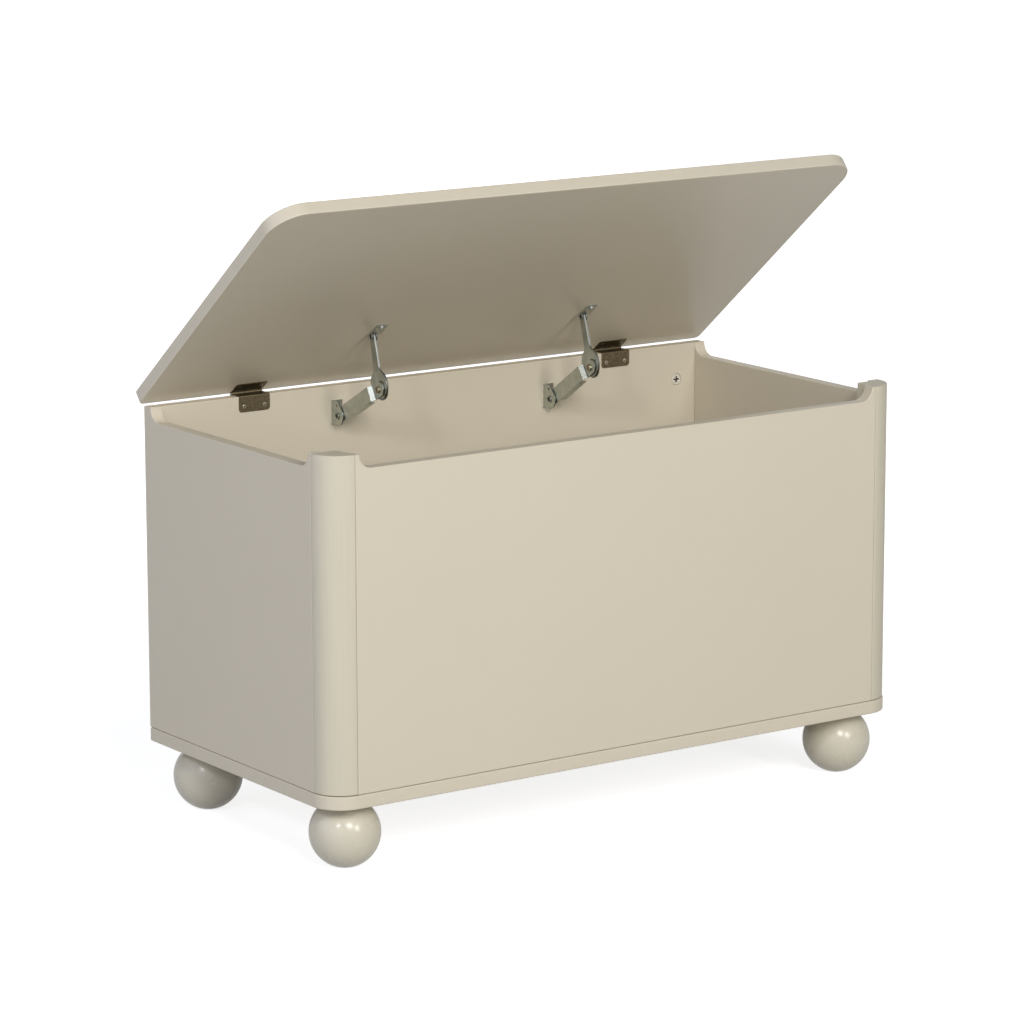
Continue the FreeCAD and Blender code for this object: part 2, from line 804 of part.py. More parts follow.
knuckle_length = S.hinge_width / 5
leaf_face = S.leaf_gap / 2
roll_outer = leg(S.knuckle_radius, axis_rise)
roll_inner = leg(S.knuckle_radius, leaf_face)
hinge_screw_sink = S.hinge_screw_head_radius - S.hinge_screw_radius


def is_screw_hole(edge):
    return isinstance(edge.Curve, Part.Circle) and near(edge.Curve.Radius, S.hinge_screw_radius)


def cut_knuckles(leaf, spans):
    gaps = new_sketch(leaf, "gaps", "XY_Plane")
    relief = S.knuckle_radius + S.knuckle_relief
    for start, end in spans:
        draw_box(gaps, start, -relief, end, relief)
    cut_through(leaf, gaps)


def fixed_leaf(side, sign):
    leaf = place(new_body(f"{side}_hinge_fixed_leaf"), x=hinge_x * sign, y=axis_y, z=axis_z)
    profile = new_sketch(leaf, "profile", "YZ_Plane")
    inner = -S.hinge_setback - S.board_thickness
    face = inner - S.leaf_thickness
    foot = -axis_rise - S.fixed_leaf_drop
    bend = S.leaf_bend_radius
    draw_outline(profile, [
        (face, foot),
        (inner, foot),
        (inner, -axis_rise),
        (-roll_outer, -axis_rise, (0, 0, S.knuckle_radius, 1)),
        (-roll_inner, -leaf_face),
        (face + bend, -leaf_face, (face + bend, -leaf_face - bend, bend, 1)),
        (face, -leaf_face - bend),
    ])
    draw_circle(profile, 0, 0, S.pin_radius)
    pad(leaf, profile, S.hinge_width, both_ways=True)
    cut_knuckles(leaf, [
        (-knuckle_length * 1.5, -knuckle_length * 0.5),
        (knuckle_length * 0.5, knuckle_length * 1.5),
    ])
    holes = new_sketch(leaf, "holes", "XZ_Plane")
    for hand in (-1, 1):
        draw_circle(holes, S.hinge_screw_side * hand, -axis_rise - S.fixed_leaf_screw_drop, S.hinge_screw_radius)
    cut_through(leaf, holes)
    dress(leaf, "PartDesign::Chamfer", hinge_screw_sink,
          lambda edge: is_screw_hole(edge) and near(edge.BoundBox.YMax, face))
    dress(leaf, "PartDesign::Fillet", S.fixed_leaf_corner,
          lambda edge: along(edge, "y") and near(edge.BoundBox.ZMax, foot)
          and near(abs(edge.BoundBox.XMin), S.hinge_width / 2))
    nodes.append(leaf)


def lid_leaf(side, sign):
    leaf = new_body(f"{side}_hinge_lid_leaf")
    profile = new_sketch(leaf, "profile", "YZ_Plane", hinge_x * sign)
    draw_outline(profile, [
        (-S.lid_leaf_reach, leaf_face),
        (-roll_inner, leaf_face, (0, 0, S.knuckle_radius, 1)),
        (-roll_outer, axis_rise),
        (-S.lid_leaf_reach, axis_rise),
    ])
    draw_circle(profile, 0, 0, S.pin_radius + S.pin_clearance)
    pad(leaf, profile, S.hinge_width, both_ways=True)
    middle = hinge_x * sign
    tip = S.hinge_width / 2 + S.knuckle_gap
    inner_end = knuckle_length * 0.5 + S.knuckle_gap
    outer_end = knuckle_length * 1.5 - S.knuckle_gap
    cut_knuckles(leaf, [
        (middle - tip, middle - outer_end),
        (middle - inner_end, middle + inner_end),
        (middle + outer_end, middle + tip),
    ])
    holes = new_sketch(leaf, "holes", "XY_Plane")
    for hand in (-1, 1):
        draw_circle(holes, middle + S.hinge_screw_side * hand, -S.lid_leaf_screw_reach, S.hinge_screw_radius)
    cut_through(leaf, holes)
    dress(leaf, "PartDesign::Chamfer", hinge_screw_sink,
          lambda edge: is_screw_hole(edge) and near(edge.BoundBox.ZMax, leaf_face))
    dress(leaf, "PartDesign::Fillet", S.lid_leaf_corner,
          lambda edge: along(edge, "z") and near(edge.BoundBox.YMin, -S.lid_leaf_reach))
    leaf.Placement = opened
    nodes.append(leaf)


def hinge_pin(side, sign):
    pin = doc.addObject("Part::Cylinder", f"{side}_hinge_pin")
    pin.Label = f"{side}_hinge_pin"
    bind(pin, "Radius", S.pin_radius)
    bind(pin, "Height", S.hinge_width)
    pin.Placement = FreeCAD.Placement(FreeCAD.Vector(), AXIS_TURN["+x"])
    place(pin, hinge_x * sign - S.hinge_width / 2, axis_y, axis_z)
    nodes.append(pin)


def hinge_screws():
    """Countersunk screws along +Z, flush with the leaf so that the leaves can close."""
    screw = new_body("hinge_screw_master")
    half = new_sketch(screw, "half", "XZ_Plane")
    flush = -S.leaf_thickness
    draw_outline(half, [
        (0, flush),
        (S.hinge_screw_head_radius, flush),
        (S.hinge_screw_radius, flush + hinge_screw_sink),
        (S.hinge_screw_radius, flush + S.hinge_screw_length),
        (0, flush + S.hinge_screw_length),
    ])
    revolve(screw, half, "V_Axis")
    wall = spots([(x, back_inner, rim - S.fixed_leaf_screw_drop) for x in hinge_screw_x], "+y")
    nodes.append(fastener_group("hinge_wall_screws", screw, wall))
    lid = spots([(x, -S.lid_leaf_screw_reach, axis_rise) for x in hinge_screw_x], "+z")
    nodes.append(fastener_group("hinge_lid_screws", screw, lid, opened))


# Lid stays: wall bracket, channel arm, link and lid bracket, all standing on edge beside each other.
# Each piece is drawn about its own pivot with the arm and the link lying straight forward.

def wall_bracket(side, x, drop):
    bracket = place(new_body(f"{side}_stay_wall_bracket"), x=x, y=wall_pivot_y, z=rim - drop)
    wall = S.wall_pivot_reach
    lobe = S.wall_web_radius
    ear = S.wall_ear_radius
    ear_y = S.wall_ear_inset
    ear_z = S.wall_ear_rise
    web = new_sketch(bracket, "web", "YZ_Plane")
    draw_outline(web, [
        (wall, ear_z + ear),
        (ear_y, ear_z + ear, (ear_y, ear_z, ear, 1)),
        (ear_y - ear, ear_z),
        (-leg(lobe, S.wall_web_notch), S.wall_web_notch, (0, 0, lobe, 1)),
        (0, -lobe),
        (wall, -lobe),
    ])
    draw_circle(web, 0, 0, S.wall_rivet_radius)
    draw_circle(web, ear_y, ear_z, S.wall_ear_hole)
    pad(bracket, web, S.stay_sheet)
    flange = new_sketch(bracket, "flange", "XZ_Plane", -wall)
    draw_box(flange, 0, -lobe, S.wall_flange_width, ear_z + ear)
    draw_circle(flange, S.wall_screw_side, S.wall_screw_above, S.stay_screw_radius)
    draw_circle(flange, S.wall_screw_side, -S.wall_screw_below, S.stay_screw_radius)
    pad(bracket, flange, S.wall_flange_sheet)
    nodes.append(bracket)


def turned_rivet(name, steps):
    """Turned along X from (x, radius) steps, each radius holding until the next x."""
    rivet = new_body(name)
    half = new_sketch(rivet, "half", "XY_Plane")
    outline = [(steps[0][0], 0)]
    for (x, radius), (following, _) in zip(steps, steps[1:]):
        outline += [(x, radius), (following, radius)]
    outline.append((steps[-1][0], 0))
    draw_outline(half, outline[::-1])
    revolve(rivet, half, "H_Axis")
    return rivet


def wall_rivet(side, x, drop):
    tail = S.arm_offset + S.stay_sheet + S.stay_side_gap
    rivet = turned_rivet(f"{side}_stay_wall_rivet", [
        (-S.rivet_head_height, S.wall_rivet_head_radius),
        (as_size(0), S.wall_rivet_radius),
        (tail, S.wall_rivet_head_radius),
        (tail + S.rivet_head_height, as_size(0)),
    ])
    nodes.append(place(rivet, x=x, y=wall_pivot_y, z=rim - drop))


def stay_arm(side, placement):
    arm = new_body(f"{side}_stay_arm")
    strip = new_sketch(arm, "strip", "XY_Plane")
    near_face = S.arm_offset
    far_face = near_face + S.arm_joggle_step
    start = S.arm_joggle_start
    end = start + S.arm_joggle_run
    slope = (S.arm_joggle_run * S.arm_joggle_run + S.arm_joggle_step * S.arm_joggle_step).root()
    shift = S.stay_sheet * (slope - S.arm_joggle_run) / S.arm_joggle_step
    tip = S.arm_length + S.arm_front_end
    draw_outline(strip, [
        (near_face, S.arm_rear_end),
        (near_face, -start),
        (far_face, -end),
        (far_face, -tip),
        (far_face + S.stay_sheet, -tip),
        (far_face + S.stay_sheet, -end + shift),
        (near_face + S.stay_sheet, -start + shift),
        (near_face + S.stay_sheet, S.arm_rear_end),
    ])
    pad(arm, strip, S.arm_height, both_ways=True)
    half = S.arm_height / 2
    flanges = new_sketch(arm, "flanges", "YZ_Plane", near_face)
    draw_box(flanges, -S.arm_flange_end, half - S.stay_sheet, -S.arm_flange_start, half)
    draw_box(flanges, -S.arm_flange_end, -half, -S.arm_flange_start, -half + S.stay_sheet)
    pad(arm, flanges, S.arm_flange_depth)
    holes = new_sketch(arm, "holes", "YZ_Plane")
    draw_circle(holes, 0, 0, S.wall_rivet_radius + S.rivet_clearance)
    draw_circle(holes, -S.arm_length, 0, S.elbow_pin_radius)
    cut_through(arm, holes)
    dress(arm, "PartDesign::Fillet", S.arm_rear_round,
          lambda edge: along(edge, "x") and near(edge.BoundBox.YMax, S.arm_rear_end))
    dress(arm, "PartDesign::Chamfer", S.arm_front_clip,
          lambda edge: along(edge, "x") and near(edge.BoundBox.YMin, -tip))
    arm.Placement = placement
    nodes.append(arm)


def elbow_pin(side, placement):
    plate = S.arm_offset + S.arm_joggle_step
    flange = S.link_offset + S.link_thickness + S.stay_side_gap
    tail = flange + S.elbow_flange_thickness
    pin = turned_rivet(f"{side}_stay_elbow_pin", [
        (plate - S.adjuster_height, S.adjuster_radius),
        (plate, S.elbow_pin_radius),
        (flange, S.elbow_flange_radius),
        (tail, S.elbow_tail_radius),
        (tail + S.elbow_tail_height, as_size(0)),
    ])
    pin.Placement = placement
    nodes.append(pin)


def stay_link(side, placement):
    link = new_body(f"{side}_stay_link")
    outline = new_sketch(link, "outline", "YZ_Plane", S.link_offset)
    disc = S.link_disc_radius
    end = S.link_end_radius
    middle = -S.link_length + S.link_disc_inset
    neck = middle + leg(disc, S.link_neck)
    draw_outline(outline, [
        (0, -end, (0, 0, end, 1)),
        (end, 0, (0, 0, end, 1)),
        (0, end),
        (neck, S.link_neck, (middle, 0, disc, 1)),
        (neck, -S.link_neck),
    ])
    draw_circle(outline, 0, 0, S.lid_rivet_radius + S.rivet_clearance)
    draw_circle(outline, -S.link_length, 0, S.elbow_pin_radius + S.elbow_play)
    pad(link, outline, S.link_thickness)
    dress(link, "PartDesign::Fillet", S.link_neck_round,
          lambda edge: along(edge, "x") and near(abs(edge.BoundBox.ZMin), S.link_neck))
    link.Placement = placement
    nodes.append(link)


def lid_bracket(side, placement):
    bracket = new_body(f"{side}_stay_lid_bracket")
    top = S.lid_pivot_depth
    radius = S.lid_web_radius
    web = new_sketch(bracket, "web", "YZ_Plane", S.lid_bracket_offset)
    draw_outline(web, [
        (radius, top),
        (-radius, top),
        (-radius, 0, (0, 0, radius, 1)),
        (0, -radius, (0, 0, radius, 1)),
        (radius, 0),
    ])
    draw_circle(web, 0, 0, S.lid_rivet_radius)
    pad(bracket, web, S.stay_sheet)
    foot = new_sketch(bracket, "foot", "XY_Plane", top - S.stay_sheet)
    side_face = S.lid_bracket_offset
    draw_box(foot, side_face, -S.lid_foot_forward, side_face + S.lid_foot_width, radius)
    draw_circle(foot, side_face + S.lid_foot_screw_side, -S.lid_foot_screw_forward, S.stay_screw_radius)
    pad(bracket, foot, S.stay_sheet)
    bracket.Placement = placement
    nodes.append(bracket)


def lid_rivet(side, placement):
    head = S.link_offset - S.stay_side_gap
    tail = S.lid_bracket_offset + S.stay_sheet
    rivet = turned_rivet(f"{side}_stay_lid_rivet", [
        (head - S.rivet_head_height, S.lid_rivet_head_radius),
        (head, S.lid_rivet_radius),
        (tail, S.lid_rivet_head_radius),
        (tail + S.rivet_head_height, as_size(0)),
    ])
    rivet.Placement = placement
    nodes.append(rivet)


def headed_screw(name, radius, length, head_radius, head_height, sheet_under_head):
    """Screw along +Z whose point goes into the wood; the head sits on the sheet at the wood's face."""
    screw = new_body(name)
    half = new_sketch(screw, "half", "XZ_Plane")
    seat = -sheet_under_head
    draw_outline(half, [
        (0, seat - head_height),
        (head_radius, seat - head_height),
        (head_radius, seat),
        (radius, seat),
        (radius, seat + length),
        (0, seat + length),
    ])
    revolve(screw, half, "V_Axis")
    return screw


def stay_screws():
    wall_screw = headed_screw("stay_wall_screw_master", S.stay_screw_radius, S.stay_screw_length,
                              S.stay_screw_head_radius, S.stay_screw_head_height, S.wall_flange_sheet)
    nodes.append(fastener_group("stay_wall_screws", wall_screw, spots(wall_screw_spots, "+y")))
    lid_screw = headed_screw("stay_lid_screw_master", S.stay_screw_radius, S.stay_screw_length,
                             S.stay_screw_head_radius, S.stay_screw_head_height, S.stay_sheet)
    nodes.append(fastener_group("stay_lid_screws", lid_screw, spots(lid_screw_spots, "+z"), opened))


def turned_forward(x, point, degrees):
    """Placement of an arm or link at its pivot, raised by the angle from straight forward."""
    rotation = FreeCAD.Rotation(FreeCAD.Vector(1, 0, 0), -degrees)
    return FreeCAD.Placement(FreeCAD.Vector(x, point.y, point.z), rotation)


def rise_of(start, end):
    return math.degrees(math.atan2(end.z - start.z, start.y - end.y))


def lid_stay(side, x, drop, reach):
    """Closes the triangle of wall pivot, elbow and lid pivot at the lid's rest angle."""
    wall = FreeCAD.Vector(0, wall_pivot_y.number, rim.number - drop.number)
    on_lid = FreeCAD.Vector(0, -reach.number, axis_rise.number - S.lid_pivot_depth.number)
    hung = opened.multVec(on_lid)
    span = hung - wall
    arm, link = S.arm_length.number, S.link_length.number
    lift = math.acos((arm ** 2 + span.Length ** 2 - link ** 2) / (2 * arm * span.Length))
    arm_rise = rise_of(wall, hung) - math.degrees(lift)
    turn = FreeCAD.Rotation(FreeCAD.Vector(1, 0, 0), -arm_rise)
    elbow = wall + turn.multVec(FreeCAD.Vector(0, -arm, 0))
    wall_bracket(side, x, drop)
    wall_rivet(side, x, drop)
    stay_arm(side, turned_forward(x.number, wall, arm_rise))
    elbow_pin(side, turned_forward(x.number, elbow, arm_rise))
    stay_link(side, turned_forward(x.number, hung, rise_of(hung, elbow)))
    on_underside = opened.multiply(FreeCAD.Placement(FreeCAD.Vector(x.number, on_lid.y, on_lid.z),
                                                     FreeCAD.Rotation()))
    lid_bracket(side, on_underside)
    lid_rivet(side, on_underside)


base_board()
front_panel()
for side, sign in SIDES:
    side_panel(side, sign)
    front_post(side, sign)
back_panel()
for corner, (x, y) in foot_spots.items():
    ball_foot(corner, x, y)
foot_fixings()
board_joints()
base_screw_group()
lid_panel()
for side, sign in SIDES:
    fixed_leaf(side, sign)
    lid_leaf(side, sign)
    hinge_pin(side, sign)
hinge_screws()
for side, (x, drop, reach) in stays.items():
    lid_stay(side, x, drop, reach)
stay_screws()

# Every object must be sound before the files are written, about the middle of the whole footprint
doc.recompute()
for item in doc.Objects:
    if "Invalid" in item.State or "Error" in item.State:
        raise ValueError(f"{item.Name} is {item.State}")
os.makedirs("parts", exist_ok=True)
for node in nodes:
    if node.Shape.isNull() or not node.Shape.isValid():
        raise ValueError(f"{node.Label} has no sound shape")
    piece = node.Shape.copy()
    piece.translate(FreeCAD.Vector(0, -S.frame_setback.number, 0))
    piece.exportStep(f"parts/{node.Label}.step")
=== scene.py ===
import json
import math

import bmesh
import bpy
from mathutils import Matrix, Vector


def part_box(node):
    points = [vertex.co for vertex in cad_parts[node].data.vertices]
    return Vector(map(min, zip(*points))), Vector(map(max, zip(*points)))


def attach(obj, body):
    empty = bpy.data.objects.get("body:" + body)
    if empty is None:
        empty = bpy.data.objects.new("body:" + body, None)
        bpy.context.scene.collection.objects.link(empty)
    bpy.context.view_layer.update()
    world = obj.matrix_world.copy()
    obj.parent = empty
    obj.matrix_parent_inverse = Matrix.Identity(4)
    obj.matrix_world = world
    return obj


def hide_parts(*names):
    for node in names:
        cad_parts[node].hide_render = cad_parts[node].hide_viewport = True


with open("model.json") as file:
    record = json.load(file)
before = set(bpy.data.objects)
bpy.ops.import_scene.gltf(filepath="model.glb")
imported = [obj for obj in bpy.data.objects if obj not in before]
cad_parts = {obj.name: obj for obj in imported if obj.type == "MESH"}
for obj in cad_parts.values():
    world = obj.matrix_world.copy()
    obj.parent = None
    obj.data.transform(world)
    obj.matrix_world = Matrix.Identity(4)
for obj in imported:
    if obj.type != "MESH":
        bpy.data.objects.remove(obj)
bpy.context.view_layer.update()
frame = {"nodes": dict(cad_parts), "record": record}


# Ball feet
# Four turned wooden balls under the corners, each with a small flat sole and seat.
# They are sprayed in the beige of the boards but glossier, and screw on with a hanger bolt.

MM = 0.001
FOOT_NODES = ("front_left_foot", "front_right_foot", "rear_left_foot", "rear_right_foot")
FOOT_RADIUS = 42.5 * MM
FOOT_SOLE_CUT = 1.3 * MM
FOOT_LIP = 0.8 * MM
FOOT_SIDES = 112
FOOT_RINGS = 56
FOOT_BEIGE = (0.612, 0.568, 0.450, 1.0)
CREASE_ANGLE = 40.0
NOISE_MIDDLE = 0.5
PATCH_SCALE = 4.5
SMUDGE_SCALE = 28.0
SMUDGE_ROUGHNESS = 0.10
GRAIN_STRETCH = (420.0, 420.0, 9.0)
GRAIN_TONE = 0.16
GRAIN_HEIGHT = 1.6
PEEL_HEIGHT = 0.5


def feed(tree, value, socket):
    """Sets a socket to a plain value or links it to another socket."""
    if isinstance(value, bpy.types.NodeSocket):
        tree.links.new(value, socket)
    else:
        socket.default_value = value


def add_node(tree, kind, inputs, **settings):
    """Adds a node with its settings and feeds its inputs, which are given by name or number."""
    node = tree.nodes.new(kind)
    for setting, value in settings.items():
        setattr(node, setting, value)
    for key, value in inputs.items():
        feed(tree, value, node.inputs[key])
    return node


def finish_group(name, colours, values):
    """Shader group with colour and value inputs, ready to give a colour, roughness and height."""
    group = bpy.data.node_groups.new(name, "ShaderNodeTree")
    for label in colours:
        group.interface.new_socket(label, in_out="INPUT", socket_type="NodeSocketColor")
    for label in values:
        group.interface.new_socket(label, in_out="INPUT", socket_type="NodeSocketFloat")
    group.interface.new_socket("Colour", in_out="OUTPUT", socket_type="NodeSocketColor")
    group.interface.new_socket("Roughness", in_out="OUTPUT", socket_type="NodeSocketFloat")
    group.interface.new_socket("Height", in_out="OUTPUT", socket_type="NodeSocketFloat")
    given = group.nodes.new("NodeGroupInput").outputs
    where = group.nodes.new("ShaderNodeTexCoord").outputs["Object"]
    return group, given, where


def sprayed_paint_group():
    """Sprayed paint: slow patches of tone, orange peel and, where wanted, grain along Z."""
    group, given, where = finish_group(
        "sprayed_paint", ["Colour"], ["Patches", "Gloss Roughness", "Peel Size", "Grain"])

    def noise(vector, scale, detail):
        return add_node(group, "ShaderNodeTexNoise", {
            "Vector": vector, "Scale": scale, "Detail": detail}).outputs["Fac"]

    def calculate(operation, first, second):
        return add_node(group, "ShaderNodeMath", {0: first, 1: second},
                        operation=operation).outputs[0]

    def shift(noise_value, amount):
        return calculate("MULTIPLY", calculate("SUBTRACT", noise_value, NOISE_MIDDLE), amount)

    along_z = add_node(group, "ShaderNodeMapping", {"Vector": where, "Scale": GRAIN_STRETCH})
    patch_shift = shift(noise(where, PATCH_SCALE, detail=3.0), given["Patches"])
    grain_shift = shift(noise(along_z.outputs["Vector"], 1.0, detail=4.0), given["Grain"])
    rough_shift = shift(noise(where, SMUDGE_SCALE, detail=4.0), SMUDGE_ROUGHNESS)
    peel = noise(where, given["Peel Size"], detail=2.0)
    tone_shift = calculate("ADD", patch_shift, calculate("MULTIPLY", grain_shift, GRAIN_TONE))
    tone = add_node(group, "ShaderNodeVectorMath", {
        0: given["Colour"], "Scale": calculate("ADD", tone_shift, 1.0)}, operation="SCALE")
    add_node(group, "NodeGroupOutput", {
        "Colour": tone.outputs["Vector"],
        "Roughness": calculate("ADD", given["Gloss Roughness"], rough_shift),
        "Height": calculate("ADD", calculate("MULTIPLY", peel, PEEL_HEIGHT),
                            calculate("MULTIPLY", grain_shift, GRAIN_HEIGHT))})
    return group


def surface(name, group, settings, bump_strength, bump_distance, fixed):
    """Material with the colour, roughness and bump of a group; fixed values sit on the shader."""
    material = bpy.data.materials.new(name)
    material.use_nodes = True
    tree = material.node_tree
    source = add_node(tree, "ShaderNodeGroup", settings, node_tree=group)
    bump = add_node(tree, "ShaderNodeBump", {
        "Strength": bump_strength, "Distance": bump_distance, "Height": source.outputs["Height"]})
    shader = tree.nodes["Principled BSDF"]
    feed(tree, source.outputs["Colour"], shader.inputs["Base Color"])
    feed(tree, source.outputs["Roughness"], shader.inputs["Roughness"])
    feed(tree, bump.outputs["Normal"], shader.inputs["Normal"])
    for socket, value in fixed.items():
        shader.inputs[socket].default_value = value
    return material


SPRAYED_PAINT = sprayed_paint_group()
foot_paint = surface(
    "foot_paint", SPRAYED_PAINT,
    {"Colour": FOOT_BEIGE, "Patches": 0.03, "Gloss Roughness": 0.27, "Peel Size": 260.0,
     "Grain": 0.0},
    bump_strength=0.06, bump_distance=0.4 * MM,
    fixed={"Coat Weight": 0.06, "Coat Roughness": 0.16})


def turn_profile(bm, profile, sides, start, along=Vector((0, 0, 1)), across=Vector((1, 0, 0))):
    """Turns (radius, distance) pairs about an axis; a radius of zero closes the end to a point."""
    third = along.cross(across)
    rings = []
    for radius, distance in profile:
        middle = start + along * distance
        if radius == 0:
            rings.append([bm.verts.new(middle)])
            continue
        ring = []
        for step in range(sides):
            angle = 2 * math.pi * step / sides
            spoke = across * math.cos(angle) + third * math.sin(angle)
            ring.append(bm.verts.new(middle + spoke * radius))
        rings.append(ring)
    for lower, upper in zip(rings, rings[1:]):
        for step in range(sides):
            after = (step + 1) % sides
            if len(lower) == 1:
                bm.faces.new((lower[0], upper[after], upper[step]))
            elif len(upper) == 1:
                bm.faces.new((lower[step], lower[after], upper[0]))
            else:
                bm.faces.new((lower[step], lower[after], upper[after], upper[step]))


def new_object(name, bm):
    """Moves a bmesh into a new object of the scene."""
    mesh = bpy.data.meshes.new(name)
    bm.to_mesh(mesh)
    bm.free()
    made = bpy.data.objects.new(name, mesh)
    bpy.context.scene.collection.objects.link(made)
    return made


def bake_modifiers(piece):
    """Turns an object with modifiers into a plain mesh."""
    evaluated = piece.evaluated_get(bpy.context.evaluated_depsgraph_get())
    mesh = bpy.data.meshes.new_from_object(evaluated)
    mesh.name = piece.name
    piece.modifiers.clear()
    piece.data = mesh


def shade(piece, crease):
    """Shades a piece smoothly, apart from edges sharper than the crease angle in degrees."""
    piece.data.shade_smooth()
    piece.data.set_sharp_from_angle(angle=math.radians(crease))


def coat(piece, material):
    """Makes a material the only one of a piece."""
    piece.data.materials.clear()
    piece.data.materials.append(material)


def hand_over(piece, body, nodes):
    """Hangs a piece on the empty of its body and hides the CAD nodes it replaces."""
    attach(piece, body)
    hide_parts(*nodes)


def settle(name, bm, material, body, nodes, cutter=None):
    """Makes a finished piece of a bmesh: faces outward, cut by the cutter, evenly shaded."""
    bmesh.ops.recalc_face_normals(bm, faces=bm.faces)
    piece = new_object(name, bm)
    if cutter is not None:
        cut = piece.modifiers.new("cut", "BOOLEAN")
        cut.operation = "DIFFERENCE"
        cut.solver = "EXACT"
        cut.object = cutter
        bake_modifiers(piece)
        bpy.data.objects.remove(cutter)
    shade(piece, CREASE_ANGLE)
    even = piece.modifiers.new("even", "WEIGHTED_NORMAL")
    even.keep_sharp = True
    bake_modifiers(piece)
    coat(piece, material)
    hand_over(piece, body, nodes)


def node_box(node):
    """Lowest and highest corner of a CAD node."""
    return [Vector(corner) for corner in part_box(node)]


foot_middle = FOOT_RADIUS - FOOT_SOLE_CUT
sole_angle = -math.asin(foot_middle / FOOT_RADIUS)
for foot_node in FOOT_NODES:
    low, high = node_box(foot_node)
    foot_height = high.z - low.z
    seat_angle = math.asin((foot_height - foot_middle) / FOOT_RADIUS)
    foot_profile = [(0.0, 0.0), (FOOT_RADIUS * math.cos(sole_angle) - FOOT_LIP, 0.0)]
    for ring in range(FOOT_RINGS + 1):
        angle = sole_angle + (seat_angle - sole_angle) * ring / FOOT_RINGS
        foot_profile.append(
            (FOOT_RADIUS * math.cos(angle), foot_middle + FOOT_RADIUS * math.sin(angle)))
    foot_profile.append((0.0, foot_height))
    foot_bm = bmesh.new()
    foot_spot = Vector(((low.x + high.x) / 2, (low.y + high.y) / 2, low.z))
    turn_profile(foot_bm, foot_profile, FOOT_SIDES, foot_spot)
    settle(foot_node + "_turned", foot_bm, foot_paint, "chest", [foot_node])


# Hanger bolts and insert nuts
# Each foot hangs on a zinc-plated steel bolt, half of it in the foot and half in a flanged nut.
# The nut is driven into the base board from below and sits flush, hidden by the foot.

CLOUD_LOW, CLOUD_HIGH = 0.35, 0.65
LINE_STRETCH = (1.0, 0.08, 1.0)
# How dark the painted shade goes where the attribute "recess" is one.
RECESS_SHADE = 0.16
METAL_BUMP = 0.2 * MM
MIX_FIRST, MIX_SECOND, MIX_RESULT = 6, 7, 2


def plated_metal_group():
    """Plated metal: cloudy tint, fine lines, and painted shade and dirt where the attribute
    "recess" is one.
    """
    group, given, where = finish_group(
        "plated_metal", ["Colour", "Tint"],
        ["Cloud Size", "Polish Roughness", "Scuffs", "Line Size"])
    cloud = add_node(group, "ShaderNodeTexNoise", {
        "Vector": where, "Scale": given["Cloud Size"], "Detail": 3.0})
    spread = add_node(group, "ShaderNodeMapRange", {
        "Value": cloud.outputs["Fac"], "From Min": CLOUD_LOW, "From Max": CLOUD_HIGH})
    mix = add_node(group, "ShaderNodeMix", {
        "Factor": spread.outputs["Result"], MIX_FIRST: given["Colour"], MIX_SECOND: given["Tint"]},
        data_type="RGBA")
    recess = add_node(group, "ShaderNodeAttribute", {}, attribute_name="recess")
    # Painted shade: the colour is darkened where the "recess" attribute is set.
    painted_shade_factor = add_node(group, "ShaderNodeMapRange", {
        "Value": recess.outputs["Fac"], "To Min": 1.0, "To Max": RECESS_SHADE})
    tone = add_node(group, "ShaderNodeVectorMath", {
        0: mix.outputs[MIX_RESULT], "Scale": painted_shade_factor.outputs["Result"]}, operation="SCALE")
    along_y = add_node(group, "ShaderNodeMapping", {"Vector": where, "Scale": LINE_STRETCH})
    lines = add_node(group, "ShaderNodeTexNoise", {
        "Vector": along_y.outputs["Vector"], "Scale": given["Line Size"], "Detail": 4.0})
    scuff = add_node(group, "ShaderNodeMath", {
        0: lines.outputs["Fac"], 1: given["Scuffs"], 2: given["Polish Roughness"]},
        operation="MULTIPLY_ADD")
    add_node(group, "NodeGroupOutput", {
        "Colour": tone.outputs["Vector"], "Roughness": scuff.outputs[0],
        "Height": lines.outputs["Fac"]})
    return group


PLATED_METAL = plated_metal_group()


def plated_metal(name, colour, tint, cloud_size, roughness, scuffs, line_size, bump, metallic=1.0):
    """Material of the plated metal group."""
    return surface(
        name, PLATED_METAL,
        {"Colour": colour, "Tint": tint, "Cloud Size": cloud_size, "Polish Roughness": roughness,
         "Scuffs": scuffs, "Line Size": line_size},
        bump_strength=bump, bump_distance=METAL_BUMP, fixed={"Metallic": metallic})


def dress_node(node, material):
    """Gives a CAD piece that already has the right shape its finish."""
    coat(frame["nodes"][node], material)


fixing_steel = plated_metal(
    "fixing_steel", colour=(0.56, 0.57, 0.57, 1.0), tint=(0.48, 0.49, 0.47, 1.0), cloud_size=140.0,
    roughness=0.28, scuffs=0.2, line_size=1800.0, bump=0.05)
for fixing in ("foot_hanger_bolts", "foot_insert_nuts"):
    dress_node(fixing, fixing_steel)


# Base board
# One painted board under all the panels, with front corners rounded like the posts above it.
# Its edges are eased by hand; the panels stand on it and leave a fine shadow line.

BASE_EASE = 1.5 * MM
BASE_CORNER = 38.0 * MM
BASE_HEEL = 4.0 * MM
ARC_STEPS = 28
EASE_SEGMENTS = 3
BEIGE = (0.634, 0.573, 0.453, 1.0)
LAY_FLAT = Matrix.Identity(4)
board_paint = surface(
    "board_paint", SPRAYED_PAINT,
    {"Colour": BEIGE, "Patches": 0.035, "Gloss Roughness": 0.44, "Peel Size": 520.0, "Grain": 0.0},
    bump_strength=0.08, bump_distance=0.3 * MM, fixed={"Specular IOR Level": 0.36})


def arc(cx, cy, radius, start, end, steps=ARC_STEPS):
    """Points on an arc, angles in degrees."""
    angles = [math.radians(start + (end - start) * step / steps) for step in range(steps + 1)]
    return [(cx + radius * math.cos(angle), cy + radius * math.sin(angle)) for angle in angles]


